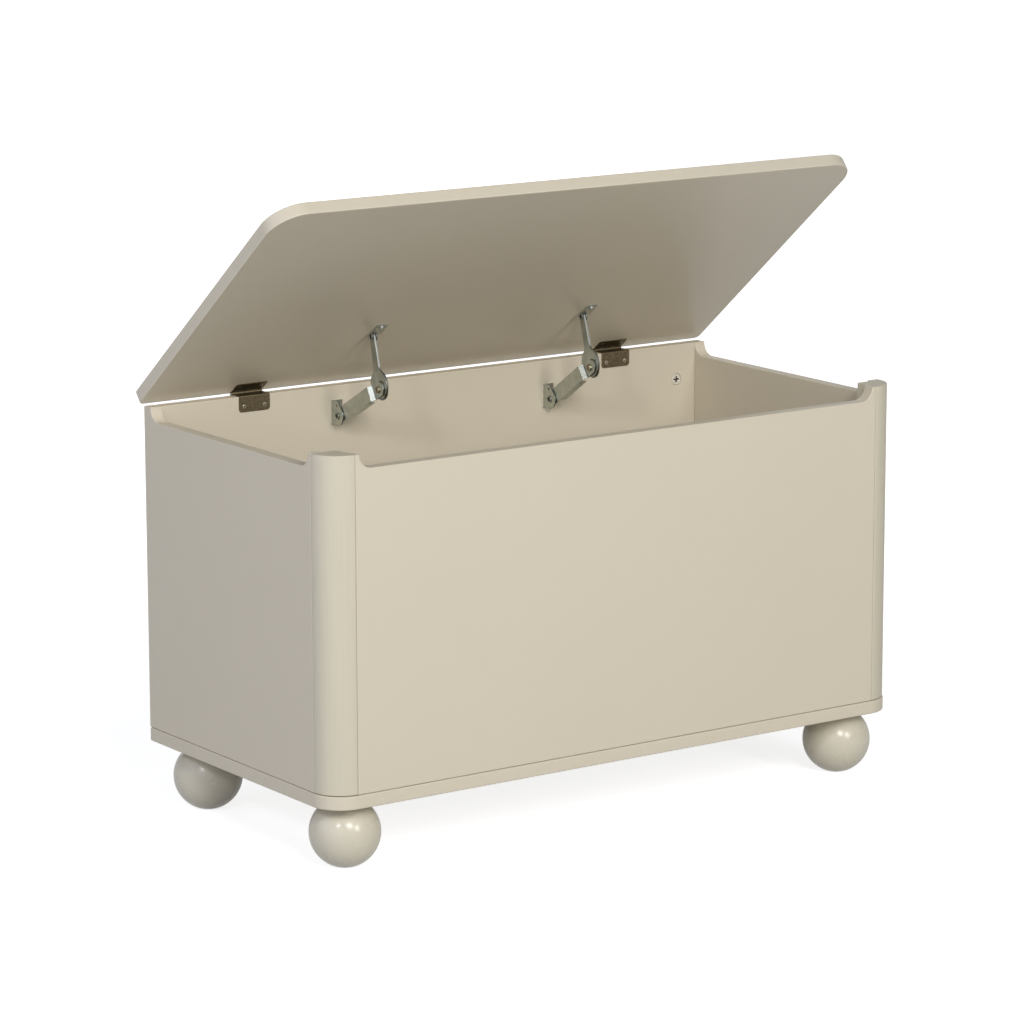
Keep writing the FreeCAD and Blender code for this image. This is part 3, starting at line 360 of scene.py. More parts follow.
def rounded_plan(left, front, right, rear, front_radius, rear_radius):
    """Board plan seen from above, with two front and two rear corner radii."""
    return (arc(right - front_radius, front + front_radius, front_radius, 270, 360)
            + arc(right - rear_radius, rear - rear_radius, rear_radius, 0, 90)
            + arc(left + rear_radius, rear - rear_radius, rear_radius, 90, 180)
            + arc(left + front_radius, front + front_radius, front_radius, 180, 270))


def ease_edges(bm, angle, ease, segments):
    """Rounds the edges that are sharper than an angle in degrees."""
    bm.normal_update()
    sharp = [edge for edge in bm.edges
             if edge.is_manifold and edge.calc_face_angle(0.0) > math.radians(angle)]
    bmesh.ops.bevel(bm, geom=sharp, offset=ease, offset_type="OFFSET", segments=segments,
                    profile=0.5, affect="EDGES", clamp_overlap=True)


def cut_board(outline, low, high, stand, ease, segments=EASE_SEGMENTS):
    """A board cut to an outline, from low to high across its thickness, with eased edges."""
    bm = bmesh.new()
    lower = [bm.verts.new(stand @ Vector((u, v, low))) for u, v in outline]
    upper = [bm.verts.new(stand @ Vector((u, v, high))) for u, v in outline]
    bm.faces.new(lower)
    bm.faces.new(upper)
    for step in range(len(outline)):
        after = (step + 1) % len(outline)
        bm.faces.new((lower[step], lower[after], upper[after], upper[step]))
    bmesh.ops.recalc_face_normals(bm, faces=bm.faces)
    ease_edges(bm, CREASE_ANGLE, ease, segments)
    return bm


base_low, base_high = node_box("base_board")
base_bm = cut_board(
    rounded_plan(base_low.x, base_low.y, base_high.x, base_high.y, BASE_CORNER, BASE_HEEL),
    base_low.z, base_high.z, LAY_FLAT, BASE_EASE)
settle("base_board_eased", base_bm, board_paint, "chest", ["base_board"])


# Panels
# Painted boards: front, two sides and back. The front and sides are scooped along the top with
# a quarter-round cove at each end, so that fingers reach under the lid; the back runs full height.
# They are bored on the inside for the cam locks that hold them together.

PANEL_EASE = 1.0 * MM
SEAM = 0.5 * MM
BUTT_SEAM = 0.2 * MM
COVE = 17.0 * MM
FRONT_EAR = 5.5 * MM
REAR_EAR = 16.0 * MM
CAM_RADIUS = 7.5 * MM
CAM_DEPTH = 12.5 * MM
CAM_PLAY = 0.4 * MM
CAM_REACH = 30.4 * MM
CAM_EDGE = 46.0 * MM
BORE_SIDES = 48
BORE_OVERSHOOT = 1.0 * MM
STAND_FRONT = Matrix(((1, 0, 0, 0), (0, 0, 1, 0), (0, 1, 0, 0), (0, 0, 0, 1)))
STAND_SIDE = Matrix(((0, 0, 1, 0), (1, 0, 0, 0), (0, 1, 0, 0), (0, 0, 0, 1)))
FORWARD, BACKWARD = Vector((0, -1, 0)), Vector((0, 1, 0))
LEFTWARD, RIGHTWARD = Vector((-1, 0, 0)), Vector((1, 0, 0))
UPWARD = Vector((0, 0, 1))


def scooped(start, end, start_ear, end_ear, low, high):
    """Panel outline with the finger scoop between two ears."""
    left, right = start + start_ear + COVE, end - end_ear - COVE
    return ([(start, low), (end, low), (end, high)]
            + arc(right, high, COVE, 0, -90)
            + arc(left, high, COVE, -90, -180)
            + [(start, high)])


def cam_cutter(name, spots, direction):
    """Solid for boring the cam lock holes, a little wider than the locks."""
    bm = bmesh.new()
    bore, depth = CAM_RADIUS + CAM_PLAY, CAM_DEPTH + BORE_OVERSHOOT
    for spot in spots:
        turn_profile(bm, [(0.0, 0.0), (bore, 0.0), (bore, depth), (0.0, depth)], BORE_SIDES,
                     Vector(spot) - direction * BORE_OVERSHOOT, direction, UPWARD)
    bmesh.ops.recalc_face_normals(bm, faces=bm.faces)
    return new_object(name, bm)


front_low, front_high = node_box("front_panel")
back_low, back_high = node_box("back_panel")
side_boxes = {side: node_box(f"{side}_side_panel") for side in ("left", "right")}
rim = back_high.z
cam_levels = (base_high.z + CAM_EDGE, rim - CAM_EDGE)
side_cam_y = side_boxes["left"][0].y + CAM_REACH
cam_spots = {
    "front_panel": ([(x, front_high.y, z)
                     for x in (front_low.x + CAM_REACH, front_high.x - CAM_REACH)
                     for z in cam_levels], FORWARD),
    "back_panel": ([(x, back_low.y, z)
                    for x in (back_low.x + CAM_REACH, back_high.x - CAM_REACH)
                    for z in cam_levels], BACKWARD),
    "left_side_panel": ([(side_boxes["left"][1].x, side_cam_y, z) for z in cam_levels], LEFTWARD),
    "right_side_panel": ([(side_boxes["right"][0].x, side_cam_y, z) for z in cam_levels],
                         RIGHTWARD),
}
panel_shapes = {
    "front_panel": cut_board(
        scooped(front_low.x + BUTT_SEAM, front_high.x - BUTT_SEAM, FRONT_EAR, FRONT_EAR,
                front_low.z + SEAM, front_high.z),
        front_low.y, front_high.y, STAND_FRONT, PANEL_EASE),
    "back_panel": cut_board(
        [(back_low.x, back_low.z), (back_high.x, back_low.z), (back_high.x, back_high.z),
         (back_low.x, back_high.z)],
        back_low.y, back_high.y, STAND_FRONT, PANEL_EASE),
}
for side, (low, high) in side_boxes.items():
    panel_shapes[f"{side}_side_panel"] = cut_board(
        scooped(low.y + BUTT_SEAM, high.y, FRONT_EAR, REAR_EAR, low.z + SEAM, high.z),
        low.x, high.x, STAND_SIDE, PANEL_EASE)
for panel_node, panel_bm in panel_shapes.items():
    holes = cam_cutter(panel_node + "_bores", *cam_spots[panel_node])
    settle(panel_node + "_eased", panel_bm, board_paint, "chest", [panel_node],
           holes)


# Front posts
# Solid quarter-round posts, painted upright so that a faint grain runs along them.
# The front and side panels butt against them and leave a hairline at each joint.

POST_RADIUS = 37.0 * MM
POST_EASE = 1.1 * MM
POST_SEAM = 0.8 * MM
POST_STEPS = 40
# The posts' beige is the boards' paint made darker, as painted shade.
POST_BEIGE_PAINTED_SHADE = (0.590, 0.546, 0.425, 1.0)
post_paint = surface(
    "post_paint", SPRAYED_PAINT,
    {"Colour": POST_BEIGE_PAINTED_SHADE, "Patches": 0.03, "Gloss Roughness": 0.46, "Peel Size": 520.0,
     "Grain": 0.7},
    bump_strength=0.10, bump_distance=0.3 * MM, fixed={"Specular IOR Level": 0.30})
for side, start in (("left", 180), ("right", 270)):
    low, high = node_box(f"{side}_front_post")
    inner_x = high.x if side == "left" else low.x
    round_face = arc(inner_x, high.y, POST_RADIUS, start, start + 90, POST_STEPS)
    post_bm = cut_board([(inner_x, high.y)] + round_face, low.z + POST_SEAM, high.z, LAY_FLAT,
                        POST_EASE)
    settle(f"{side}_front_post_eased", post_bm, post_paint, "chest",
           [f"{side}_front_post"])


# Cam locks
# Cast zinc discs sunk flush into the insides of the boards, each with a cross recess.
# A turn of the driver pulls on the bolt that comes in through the board's end.

# Heads are drawn in millimetres along +Z, as (radius, height) pairs.
CAM_SIDE, CAM_FLOOR = CAM_RADIUS / MM, -CAM_DEPTH / MM
CAM_RIM = 0.9
CAM_CHAMFER = 0.25
CAM_DISH = 0.3
CAM_PROFILE = (
    (0, CAM_FLOOR), (CAM_SIDE, CAM_FLOOR), (CAM_SIDE, -CAM_CHAMFER), (CAM_SIDE - CAM_CHAMFER, 0),
    (CAM_SIDE - CAM_RIM, 0), (CAM_SIDE - CAM_RIM - CAM_DISH, -CAM_DISH))
CAM_CROSS_REACH = 4.4
CAM_CROSS_HALF = 1.05
CAM_CROSS_DEPTH = 4.5
CAM_FIRST_TURN = 0.479
HEAD_SIDES = 36
HEAD_CREASE = 35.0
RECESS_TAPER = 0.72
GOLDEN_TURN = 2.39996
cam_zinc = plated_metal(
    "cam_zinc", colour=(0.76, 0.72, 0.62, 1.0), tint=(0.64, 0.61, 0.53, 1.0), cloud_size=420.0,
    roughness=0.36, scuffs=0.25, line_size=2600.0, bump=0.12, metallic=0.2)


def cross_outline(reach, half):
    """Outline of a cross recess, going round from the arm along +X."""
    return [(reach, -half), (reach, half), (half, half), (half, reach), (-half, reach),
            (-half, half), (-reach, half), (-reach, -half), (-half, -half), (-half, -reach),
            (half, -reach), (half, -half)]


def driven_head(name, profile, recess, depth, sides=HEAD_SIDES):
    """A turned head, filled at its last ring round a recess that narrows downwards, marked for
    painted shade.
    """
    bm = bmesh.new()
    # The recess walls and floor are marked for painted shade.
    painted_shade_layer = bm.faces.layers.float.new("recess")
    turn_profile(bm, profile, sides, Vector((0, 0, 0)))
    top = profile[-1][1]
    open_edges = [edge for edge in bm.edges if edge.is_boundary]
    upper = [bm.verts.new((x, y, top)) for x, y in recess]
    lower = [bm.verts.new((x * RECESS_TAPER, y * RECESS_TAPER, top - depth)) for x, y in recess]
    for step in range(len(recess)):
        after = (step + 1) % len(recess)
        open_edges.append(bm.edges.new((upper[step], upper[after])))
        wall = bm.faces.new((upper[step], lower[step], lower[after], upper[after]))
        wall[painted_shade_layer] = 1.0
    bm.faces.new(lower[::-1])[painted_shade_layer] = 1.0
    bmesh.ops.triangle_fill(bm, edges=open_edges, use_beauty=True)
    bmesh.ops.recalc_face_normals(bm, faces=bm.faces)
    bm.transform(Matrix.Scale(MM, 4))
    return new_object(name, bm)


def scatter_tree():
    """Geometry tree that sets one head on every point, turned by the point's aim and spin."""
    tree = bpy.data.node_groups.new("heads_on_points", "GeometryNodeTree")
    tree.interface.new_socket("Points", in_out="INPUT", socket_type="NodeSocketGeometry")
    tree.interface.new_socket("Head", in_out="INPUT", socket_type="NodeSocketObject")
    tree.interface.new_socket("Heads", in_out="OUTPUT", socket_type="NodeSocketGeometry")
    given = tree.nodes.new("NodeGroupInput").outputs
    head = add_node(tree, "GeometryNodeObjectInfo", {"Object": given["Head"]})
    aim = add_node(tree, "GeometryNodeInputNamedAttribute", {"Name": "aim"},
                   data_type="FLOAT_VECTOR")
    spin = add_node(tree, "GeometryNodeInputNamedAttribute", {"Name": "spin"}, data_type="FLOAT")
    turn = add_node(tree, "FunctionNodeAlignRotationToVector", {
        "Vector": aim.outputs["Attribute"]}, axis="Z")
    twist = add_node(tree, "FunctionNodeAxisAngleToRotation", {
        "Axis": UPWARD, "Angle": spin.outputs["Attribute"]})
    both = add_node(tree, "FunctionNodeRotateRotation", {
        "Rotation": turn.outputs["Rotation"], "Rotate By": twist.outputs["Rotation"]},
        rotation_space="LOCAL")
    spread = add_node(tree, "GeometryNodeInstanceOnPoints", {
        "Points": given["Points"], "Instance": head.outputs["Geometry"],
        "Rotation": both.outputs["Rotation"]})
    real = add_node(tree, "GeometryNodeRealizeInstances", {
        "Geometry": spread.outputs["Instances"]})
    add_node(tree, "NodeGroupOutput", {"Heads": real.outputs["Geometry"]})
    return tree


HEADS_ON_POINTS = scatter_tree()
HEAD_INPUT = next(item.identifier for item in HEADS_ON_POINTS.interface.items_tree
                  if item.name == "Head")


def scatter(name, head, spots, material, body, nodes, first_turn=0.0):
    """One mesh of heads on (place, aim) spots, each turned differently about its own axis."""
    mesh = bpy.data.meshes.new(name)
    mesh.from_pydata([tuple(place) for place, _ in spots], [], [])
    mesh.attributes.new("aim", "FLOAT_VECTOR", "POINT")
    mesh.attributes.new("spin", "FLOAT", "POINT")
    for index, (_, direction) in enumerate(spots):
        mesh.attributes["aim"].data[index].vector = direction
        mesh.attributes["spin"].data[index].value = first_turn + GOLDEN_TURN * index
    piece = bpy.data.objects.new(name, mesh)
    bpy.context.scene.collection.objects.link(piece)
    modifier = piece.modifiers.new("heads", "NODES")
    modifier.node_group = HEADS_ON_POINTS
    modifier[HEAD_INPUT] = head
    bake_modifiers(piece)
    coat(piece, material)
    shade(piece, HEAD_CREASE)
    hand_over(piece, body, nodes)


cam_head = driven_head("cam_lock_head", CAM_PROFILE,
                       cross_outline(CAM_CROSS_REACH, CAM_CROSS_HALF), CAM_CROSS_DEPTH)
scatter("cam_lock_discs", cam_head,
        [(spot, -direction) for spots, direction in cam_spots.values() for spot in spots],
        cam_zinc, "chest", ["cam_locks"], CAM_FIRST_TURN)
bpy.data.objects.remove(cam_head)


# Cam bolts, dowels and base screws
# Hidden fixings: steel bolts that the cam locks pull on, beech dowels that line the boards up,
# and steel screws driven up through the base board.

FLECK_SCALE = 600.0
BEECH_SMOOTH, BEECH_ROUGH = 0.55, 0.75


def beech_group():
    """Bare beech with small dark flecks."""
    group, given, where = finish_group("bare_beech", ["Light", "Dark"], [])
    flecks = add_node(group, "ShaderNodeTexNoise", {
        "Vector": where, "Scale": FLECK_SCALE}).outputs["Fac"]
    mix = add_node(group, "ShaderNodeMix", {
        "Factor": flecks, MIX_FIRST: given["Light"], MIX_SECOND: given["Dark"]}, data_type="RGBA")
    rough = add_node(group, "ShaderNodeMapRange", {
        "Value": flecks, "To Min": BEECH_SMOOTH, "To Max": BEECH_ROUGH})
    add_node(group, "NodeGroupOutput", {
        "Colour": mix.outputs[MIX_RESULT], "Roughness": rough.outputs["Result"], "Height": flecks})
    return group


dowel_beech = surface(
    "dowel_beech", beech_group(),
    {"Light": (0.66, 0.48, 0.30, 1.0), "Dark": (0.50, 0.33, 0.19, 1.0)},
    bump_strength=0.2, bump_distance=0.2 * MM, fixed={})
dress_node("dowels", dowel_beech)
dress_node("cam_bolts", fixing_steel)
dress_node("base_screws", fixing_steel)


# Lid
# One painted board with rounded front corners and softly rounded edges, a little larger than
# the box. It hangs on the hinges at its rear edge, where it is housed out for their barrels.

REST_ANGLE = 38.9
LID_THICKNESS = 16.0 * MM
LID_SIDE = 425.0 * MM
LID_FRONT_RADIUS = 42.0 * MM
LID_REAR_RADIUS = 8.0 * MM
LID_EASE = 1.5 * MM
LID_EASE_SEGMENTS = 5
# Measured from the hinge pin: how far the lid reaches to the front, the rear and above it.
LID_REACH_FRONT = 420.3 * MM
LID_REAR = 2.2 * MM
UNDERSIDE = 1.2 * MM
HINGE_X = 274.0 * MM
HOUSING_HALF = 22.5 * MM
HOUSING_BELOW = 1.0 * MM
BARREL_ROOM = 2.9 * MM
lid_paint = surface(
    "lid_paint", SPRAYED_PAINT,
    {"Colour": BEIGE, "Patches": 0.035, "Gloss Roughness": 0.33, "Peel Size": 520.0, "Grain": 0.0},
    bump_strength=0.02, bump_distance=0.3 * MM, fixed={"Specular IOR Level": 0.45})
lid_hinge = next(joint for joint in frame["record"]["behaviour"]["joints"]
                 if joint["name"] == "lid_hinge")
swing_open = (Matrix.Translation(Vector(lid_hinge["pos_m"]))
              @ Matrix.Rotation(math.radians(-REST_ANGLE), 4, "X"))
lid_bm = cut_board(
    rounded_plan(-LID_SIDE, -LID_REACH_FRONT, LID_SIDE, LID_REAR, LID_FRONT_RADIUS,
                 LID_REAR_RADIUS),
    UNDERSIDE, UNDERSIDE + LID_THICKNESS, LAY_FLAT, LID_EASE, LID_EASE_SEGMENTS)
lid_bm.transform(swing_open)
housing_bm = bmesh.new()
for sign in (-1, 1):
    low = Vector((HINGE_X * sign - HOUSING_HALF, -BARREL_ROOM, -HOUSING_BELOW))
    high = Vector((HINGE_X * sign + HOUSING_HALF, BARREL_ROOM + LID_REAR, BARREL_ROOM))
    bmesh.ops.create_cube(
        housing_bm, size=1.0,
        matrix=Matrix.Translation((low + high) / 2) @ Matrix.Diagonal((*(high - low), 1.0)))
housing_bm.transform(swing_open)
housings = new_object("barrel_housings", housing_bm)
settle("lid_panel_eased", lid_bm, lid_paint, "lid", ["lid_panel"], housings)


# Hinges
# Small butt hinges of sheet steel, rolled round a pin and plated antique bronze.
# The fixed leaf is bent over the top of the back panel; countersunk screws hold both leaves.

LEAF_EASE = 0.18 * MM
LEAF_SHEET = 1.0 * MM
LEAF_FACE = 0.2 * MM
WELD_DISTANCE = 1e-6
FLAT_ANGLE = 0.5
SHEET_CREASE = 28.0
SHEET_SEGMENTS = 2
HINGE_HEAD_PROFILE = ((0, -2.0), (1.4, -2.0), (1.5, -0.9), (2.4, 0), (1.92, 0.1))
HINGE_HEAD_SIDES = 28
HINGE_CROSS_REACH = 1.45
HINGE_CROSS_HALF = 0.32
HINGE_CROSS_DEPTH = 0.9
HINGE_SCREW_SIDE = 14.7 * MM
WALL_SCREW_DROP = 12.5 * MM
LID_SCREW_REACH = 15.0 * MM
hinge_bronze = plated_metal(
    "hinge_bronze", colour=(0.160, 0.128, 0.080, 1.0), tint=(0.235, 0.195, 0.120, 1.0),
    cloud_size=330.0, roughness=0.30, scuffs=0.3, line_size=2200.0, bump=0.10)
# The screw heads' bronze is painted far lighter than the leaves: a painted highlight.
worn_bronze = plated_metal(
    "worn_bronze", colour=(0.50, 0.45, 0.36, 1.0), tint=(0.70, 0.64, 0.54, 1.0),
    cloud_size=900.0, roughness=0.28, scuffs=0.25, line_size=2600.0, bump=0.06)


def eased_copy(node, ease):
    """Copy of a CAD piece with its flat faces joined up and its sharp edges eased."""
    bm = bmesh.new()
    bm.from_mesh(frame["nodes"][node].data)
    bmesh.ops.remove_doubles(bm, verts=bm.verts, dist=WELD_DISTANCE)
    bmesh.ops.dissolve_limit(bm, angle_limit=math.radians(FLAT_ANGLE), verts=bm.verts,
                             edges=bm.edges)
    ease_edges(bm, SHEET_CREASE, ease, SHEET_SEGMENTS)
    return bm


for side in ("left", "right"):
    for leaf, body in (("hinge_fixed_leaf", "chest"), ("hinge_lid_leaf", "lid")):
        leaf_bm = eased_copy(f"{side}_{leaf}", LEAF_EASE)
        settle(f"{side}_{leaf}_eased", leaf_bm, hinge_bronze, body,
               [f"{side}_{leaf}"])
    dress_node(f"{side}_hinge_pin", fixing_steel)

hinge_head = driven_head("hinge_screw_head", HINGE_HEAD_PROFILE,
                         cross_outline(HINGE_CROSS_REACH, HINGE_CROSS_HALF), HINGE_CROSS_DEPTH,
                         HINGE_HEAD_SIDES)
screw_columns = [HINGE_X * sign + HINGE_SCREW_SIDE * hand for sign in (-1, 1) for hand in (-1, 1)]
scatter("hinge_wall_screw_heads", hinge_head,
        [(Vector((x, back_low.y - LEAF_SHEET, rim - WALL_SCREW_DROP)), FORWARD)
         for x in screw_columns],
        worn_bronze, "chest", ["hinge_wall_screws"])
lid_down = (swing_open.to_3x3() @ -UPWARD).normalized()
scatter("hinge_lid_screw_heads", hinge_head,
        [(swing_open @ Vector((x, -LID_SCREW_REACH, LEAF_FACE)), lid_down) for x in screw_columns],
        worn_bronze, "lid", ["hinge_lid_screws"])
bpy.data.objects.remove(hinge_head)


# Lid stays
# Two friction stays of zinc-plated sheet steel, both of one hand: wall bracket, channel arm with a
# joggled end and slotted brass adjuster, flat link with a friction disc, angle bracket on the lid.
# Hollow rivets are their outer pivots, and screws hold the brackets.

STAY_EASE = 0.22 * MM
CUT_EDGE_AREA = 8.0 * MM * MM
# Share of the painted shade given to the narrow sheared edges of the stays.
CUT_EDGE_PAINTED_SHADE = 0.55
RIVET_WALL = 1.2 * MM
RIVET_HOLLOW = 0.7 * MM
FACING = 0.99
ADJUSTER_RADIUS = 4.4
ADJUSTER_HEIGHT = 1.8
ADJUSTER_CHAMFER = 0.4
ADJUSTER_PROFILE = (
    (0, 0), (ADJUSTER_RADIUS, 0), (ADJUSTER_RADIUS, ADJUSTER_HEIGHT - ADJUSTER_CHAMFER),
    (ADJUSTER_RADIUS - ADJUSTER_CHAMFER, ADJUSTER_HEIGHT))
SLOT_REACH = 3.3
SLOT_HALF = 0.95
SLOT_DEPTH = 1.2
SLOT_OUTLINE = ((SLOT_REACH, -SLOT_HALF), (SLOT_REACH, SLOT_HALF), (-SLOT_REACH, SLOT_HALF),
                (-SLOT_REACH, -SLOT_HALF))
SLOT_TURN = 0.35
stay_zinc = plated_metal(
    "stay_zinc", colour=(0.52, 0.55, 0.51, 1.0), tint=(0.43, 0.46, 0.42, 1.0), cloud_size=110.0,
    roughness=0.24, scuffs=0.22, line_size=1500.0, bump=0.06)
adjuster_brass = plated_metal(
    "adjuster_brass", colour=(0.50, 0.45, 0.34, 1.0), tint=(0.38, 0.33, 0.23, 1.0),
    cloud_size=260.0, roughness=0.24, scuffs=0.2, line_size=2000.0, bump=0.06)


def paint_shade_on_cut_edges(bm):
    """Marks the narrow faces of a sheet piece, where it was sheared, with part of the painted shade
    of a recess.
    """
    painted_shade_layer = bm.faces.layers.float.new("recess")
    for face in bm.faces:
        if face.calc_area() < CUT_EDGE_AREA:
            face[painted_shade_layer] = CUT_EDGE_PAINTED_SHADE


def hollow_end(bm, outward, wall, depth):
    """Sinks the outermost flat end of a piece inside a wall and paints shade into the hollow."""
    painted_shade_layer = bm.faces.layers.float["recess"]
    bm.normal_update()
    ends = [face for face in bm.faces if face.normal.dot(outward) > FACING]
    end = max(ends, key=lambda face: face.calc_center_median().dot(outward))
    bmesh.ops.inset_individual(bm, faces=[end], thickness=wall)
    sunk = bmesh.ops.extrude_discrete_faces(bm, faces=[end])["faces"][0]
    bmesh.ops.translate(bm, verts=sunk.verts, vec=-outward * depth)
    # Painted shade in the rivet's hollow.
    for face in [sunk] + [near for edge in sunk.edges for near in edge.link_faces]:
        face[painted_shade_layer] = 1.0


for side in ("left", "right"):
    for part, body in (("wall_bracket", "chest"), ("wall_rivet", "chest"), ("arm", f"{side}_arm"),
                       ("link", f"{side}_link"), ("lid_bracket", "lid"), ("lid_rivet", "lid")):
        stay_node = f"{side}_stay_{part}"
        stay_bm = eased_copy(stay_node, STAY_EASE)
        paint_shade_on_cut_edges(stay_bm)
        if part.endswith("rivet"):
            hollow_end(stay_bm, LEFTWARD, RIVET_WALL, RIVET_HOLLOW)
        settle(f"{stay_node}_eased", stay_bm, stay_zinc, body, [stay_node])
    pin_node = f"{side}_stay_elbow_pin"
    pin_low, pin_high = node_box(pin_node)
    pin_middle = (pin_low + pin_high) / 2
    head_base = Vector((pin_low.x + ADJUSTER_HEIGHT * MM, pin_middle.y, pin_middle.z))
    pin_bm = eased_copy(pin_node, STAY_EASE)
    bmesh.ops.bisect_plane(pin_bm, geom=pin_bm.verts[:] + pin_bm.edges[:] + pin_bm.faces[:],
                           plane_co=head_base, plane_no=RIGHTWARD, clear_inner=True)
    bmesh.ops.holes_fill(pin_bm, edges=[edge for edge in pin_bm.edges if edge.is_boundary])
    settle(f"{pin_node}_shank", pin_bm, stay_zinc, f"{side}_arm", [pin_node])
    adjuster = driven_head(f"{side}_adjuster_head", ADJUSTER_PROFILE, SLOT_OUTLINE, SLOT_DEPTH)
    scatter(f"{side}_stay_adjuster_slotted", adjuster, [(head_base, LEFTWARD)], adjuster_brass,
            f"{side}_arm", [pin_node], SLOT_TURN)
    bpy.data.objects.remove(adjuster)
for fixing in ("stay_wall_screws", "stay_lid_screws"):
    dress_node(fixing, fixing_steel)


# Floor
# A plain pale floor that carries the chest's shadow. It adds a glow of its own to what the camera
# sees, which rises to white away from the chest, and a weaker one to what mirrors it.

FLOOR_SIZE = 60.0
FLOOR_GREY = (0.53, 0.53, 0.53, 1.0)
MIRRORED_LIGHT = 0.55
GLOW_NEAR, GLOW_FAR = 0.80, 1.0
NEAR_DISTANCE, FAR_DISTANCE = 0.6, 1.3
floor_bm = bmesh.new()
bmesh.ops.create_grid(floor_bm, x_segments=1, y_segments=1, size=FLOOR_SIZE / 2)
floor = new_object("floor", floor_bm)
floor_white = bpy.data.materials.new("floor_white")
floor_white.use_nodes = True
floor_tree = floor_white.node_tree
floor_tree.nodes.clear()
floor_ray = floor_tree.nodes.new("ShaderNodeLightPath").outputs
floor_place = floor_tree.nodes.new("ShaderNodeTexCoord").outputs["Object"]
dimmed = add_node(floor_tree, "ShaderNodeMath", {
    0: floor_ray["Is Glossy Ray"], 1: MIRRORED_LIGHT}, operation="MULTIPLY")
seen = add_node(floor_tree, "ShaderNodeMath", {
    0: floor_ray["Is Camera Ray"], 1: dimmed.outputs[0]}, operation="MAXIMUM")
distance = add_node(floor_tree, "ShaderNodeVectorMath", {0: floor_place}, operation="LENGTH")
fade = add_node(floor_tree, "ShaderNodeMapRange", {
    "Value": distance.outputs["Value"], "From Min": NEAR_DISTANCE, "From Max": FAR_DISTANCE,
    "To Min": GLOW_NEAR, "To Max": GLOW_FAR})
strength = add_node(floor_tree, "ShaderNodeMath", {
    0: seen.outputs[0], 1: fade.outputs["Result"]}, operation="MULTIPLY")
glow = add_node(floor_tree, "ShaderNodeEmission", {"Strength": strength.outputs[0]})
diffuse = add_node(floor_tree, "ShaderNodeBsdfDiffuse", {"Color": FLOOR_GREY})
floor_sum = add_node(floor_tree, "ShaderNodeAddShader", {
    0: diffuse.outputs[0], 1: glow.outputs[0]})
add_node(floor_tree, "ShaderNodeOutputMaterial", {"Surface": floor_sum.outputs[0]})
floor.data.materials.append(floor_white)


# Light
# Three soft boxes across the front, which show as small lights on the feet, a broad low box and
# a cool window light from the left, and a broad fill from behind. The camera sees the sky as white.

SKY_COLOUR, SKY_STRENGTH = (0.86, 0.91, 1.0, 1.0), 0.18
MIRRORED_COLOUR = (0.95, 0.96, 1.0, 1.0)
WHITE = (1.0, 1.0, 1.0, 1.0)
CHEST_MIDDLE = Vector((0.0, 0.0, 0.35))
# Name, azimuth (0 is in front, negative to the left), elevation, metres away, width, height,
# watts and colour.
LAMPS = (
    ("left_box", -57, 28, 6.0, 0.65, 0.65, 54.0, (0.95, 0.96, 1.03)),
    ("middle_box", -19, 28.5, 6.0, 1.35, 1.35, 136.0, (1.0, 0.99, 0.965)),
    ("right_box", 6, 18, 6.0, 1.2, 1.2, 96.0, (1.0, 0.99, 0.965)),
    ("low_left_box", -60, 8, 6.0, 5.0, 3.2, 52.0, (0.97, 0.97, 1.06)),
    ("window_fill", -100, 16, 3.6, 2.2, 2.2, 18.0, (0.70, 0.76, 1.0)),
    ("back_fill", 160, 14, 6.0, 4.0, 3.0, 70.0, (1.0, 0.99, 0.97)),
)
world = bpy.data.worlds.new("studio")
bpy.context.scene.world = world
world.use_nodes = True
sky_tree = world.node_tree
sky_tree.nodes.clear()
sky_ray = sky_tree.nodes.new("ShaderNodeLightPath").outputs
sky, mirrored, white = (
    add_node(sky_tree, "ShaderNodeBackground", {"Color": colour, "Strength": level}).outputs[0]
    for colour, level in ((SKY_COLOUR, SKY_STRENGTH), (MIRRORED_COLOUR, MIRRORED_LIGHT),
                          (WHITE, 1.0)))
lighting = add_node(sky_tree, "ShaderNodeMixShader", {
    "Fac": sky_ray["Is Glossy Ray"], 1: sky, 2: mirrored})
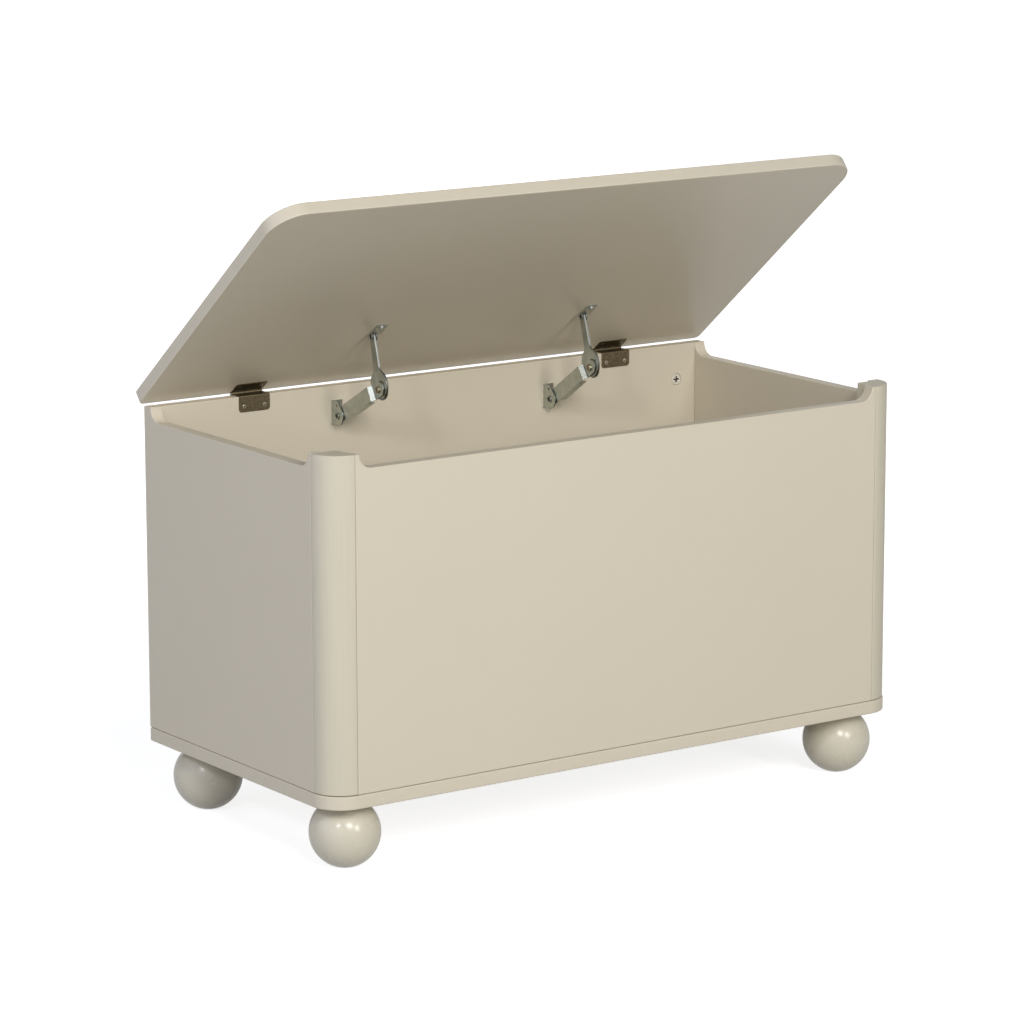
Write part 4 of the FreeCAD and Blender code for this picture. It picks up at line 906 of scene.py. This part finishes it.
backdrop = add_node(sky_tree, "ShaderNodeMixShader", {
    "Fac": sky_ray["Is Camera Ray"], 1: lighting.outputs[0], 2: white})
add_node(sky_tree, "ShaderNodeOutputWorld", {"Surface": backdrop.outputs[0]})


def direction_from(azimuth, elevation):
    """Direction from the chest, in radians; azimuth 0 is straight in front."""
    return Vector((math.sin(azimuth) * math.cos(elevation),
                   -math.cos(azimuth) * math.cos(elevation), math.sin(elevation)))


for name, azimuth, elevation, metres, width, height, watts, colour in LAMPS:
    lamp = bpy.data.lights.new(name, "AREA")
    lamp.shape = "RECTANGLE"
    lamp.size = width
    lamp.size_y = height
    lamp.energy = watts
    lamp.color = colour
    stand = bpy.data.objects.new(name, lamp)
    outward = direction_from(math.radians(azimuth), math.radians(elevation))
    stand.location = CHEST_MIDDLE + outward * metres
    stand.rotation_euler = (-outward).to_track_quat("-Z", "Y").to_euler()
    bpy.context.scene.collection.objects.link(stand)


# Camera
# It stands where the photograph was taken from, with the same focal length and a trace of roll.
# Place and lens were fitted on edges and corners of the chest.

PICTURE_SIZE = 1024
FOCAL_PIXELS = 4263.82
SENSOR = 36.0
VIEW_LIMIT = 200.0
AZIMUTH = -34.951
ELEVATION = 11.706
ROLL = -0.106
DISTANCE = 5.2323
AIM = Vector((-0.0222, -0.0068, 0.35392))
azimuth, elevation, roll = (math.radians(angle) for angle in (AZIMUTH, ELEVATION, ROLL))
backward = direction_from(azimuth, elevation)
level = Vector((math.cos(azimuth), math.sin(azimuth), 0.0))
upright = backward.cross(level)
rolled_right = level * math.cos(roll) + upright * math.sin(roll)
rolled_up = upright * math.cos(roll) - level * math.sin(roll)
lens = bpy.data.cameras.new("camera")
lens.sensor_width = SENSOR
lens.lens = FOCAL_PIXELS * SENSOR / PICTURE_SIZE
lens.clip_end = VIEW_LIMIT
camera = bpy.data.objects.new("camera", lens)
turned = Matrix((rolled_right, rolled_up, backward)).transposed().to_4x4()
camera.matrix_world = Matrix.Translation(AIM + backward * DISTANCE) @ turned
bpy.context.scene.collection.objects.link(camera)
bpy.context.scene.camera = camera
bpy.context.scene.view_settings.view_transform = "Standard"
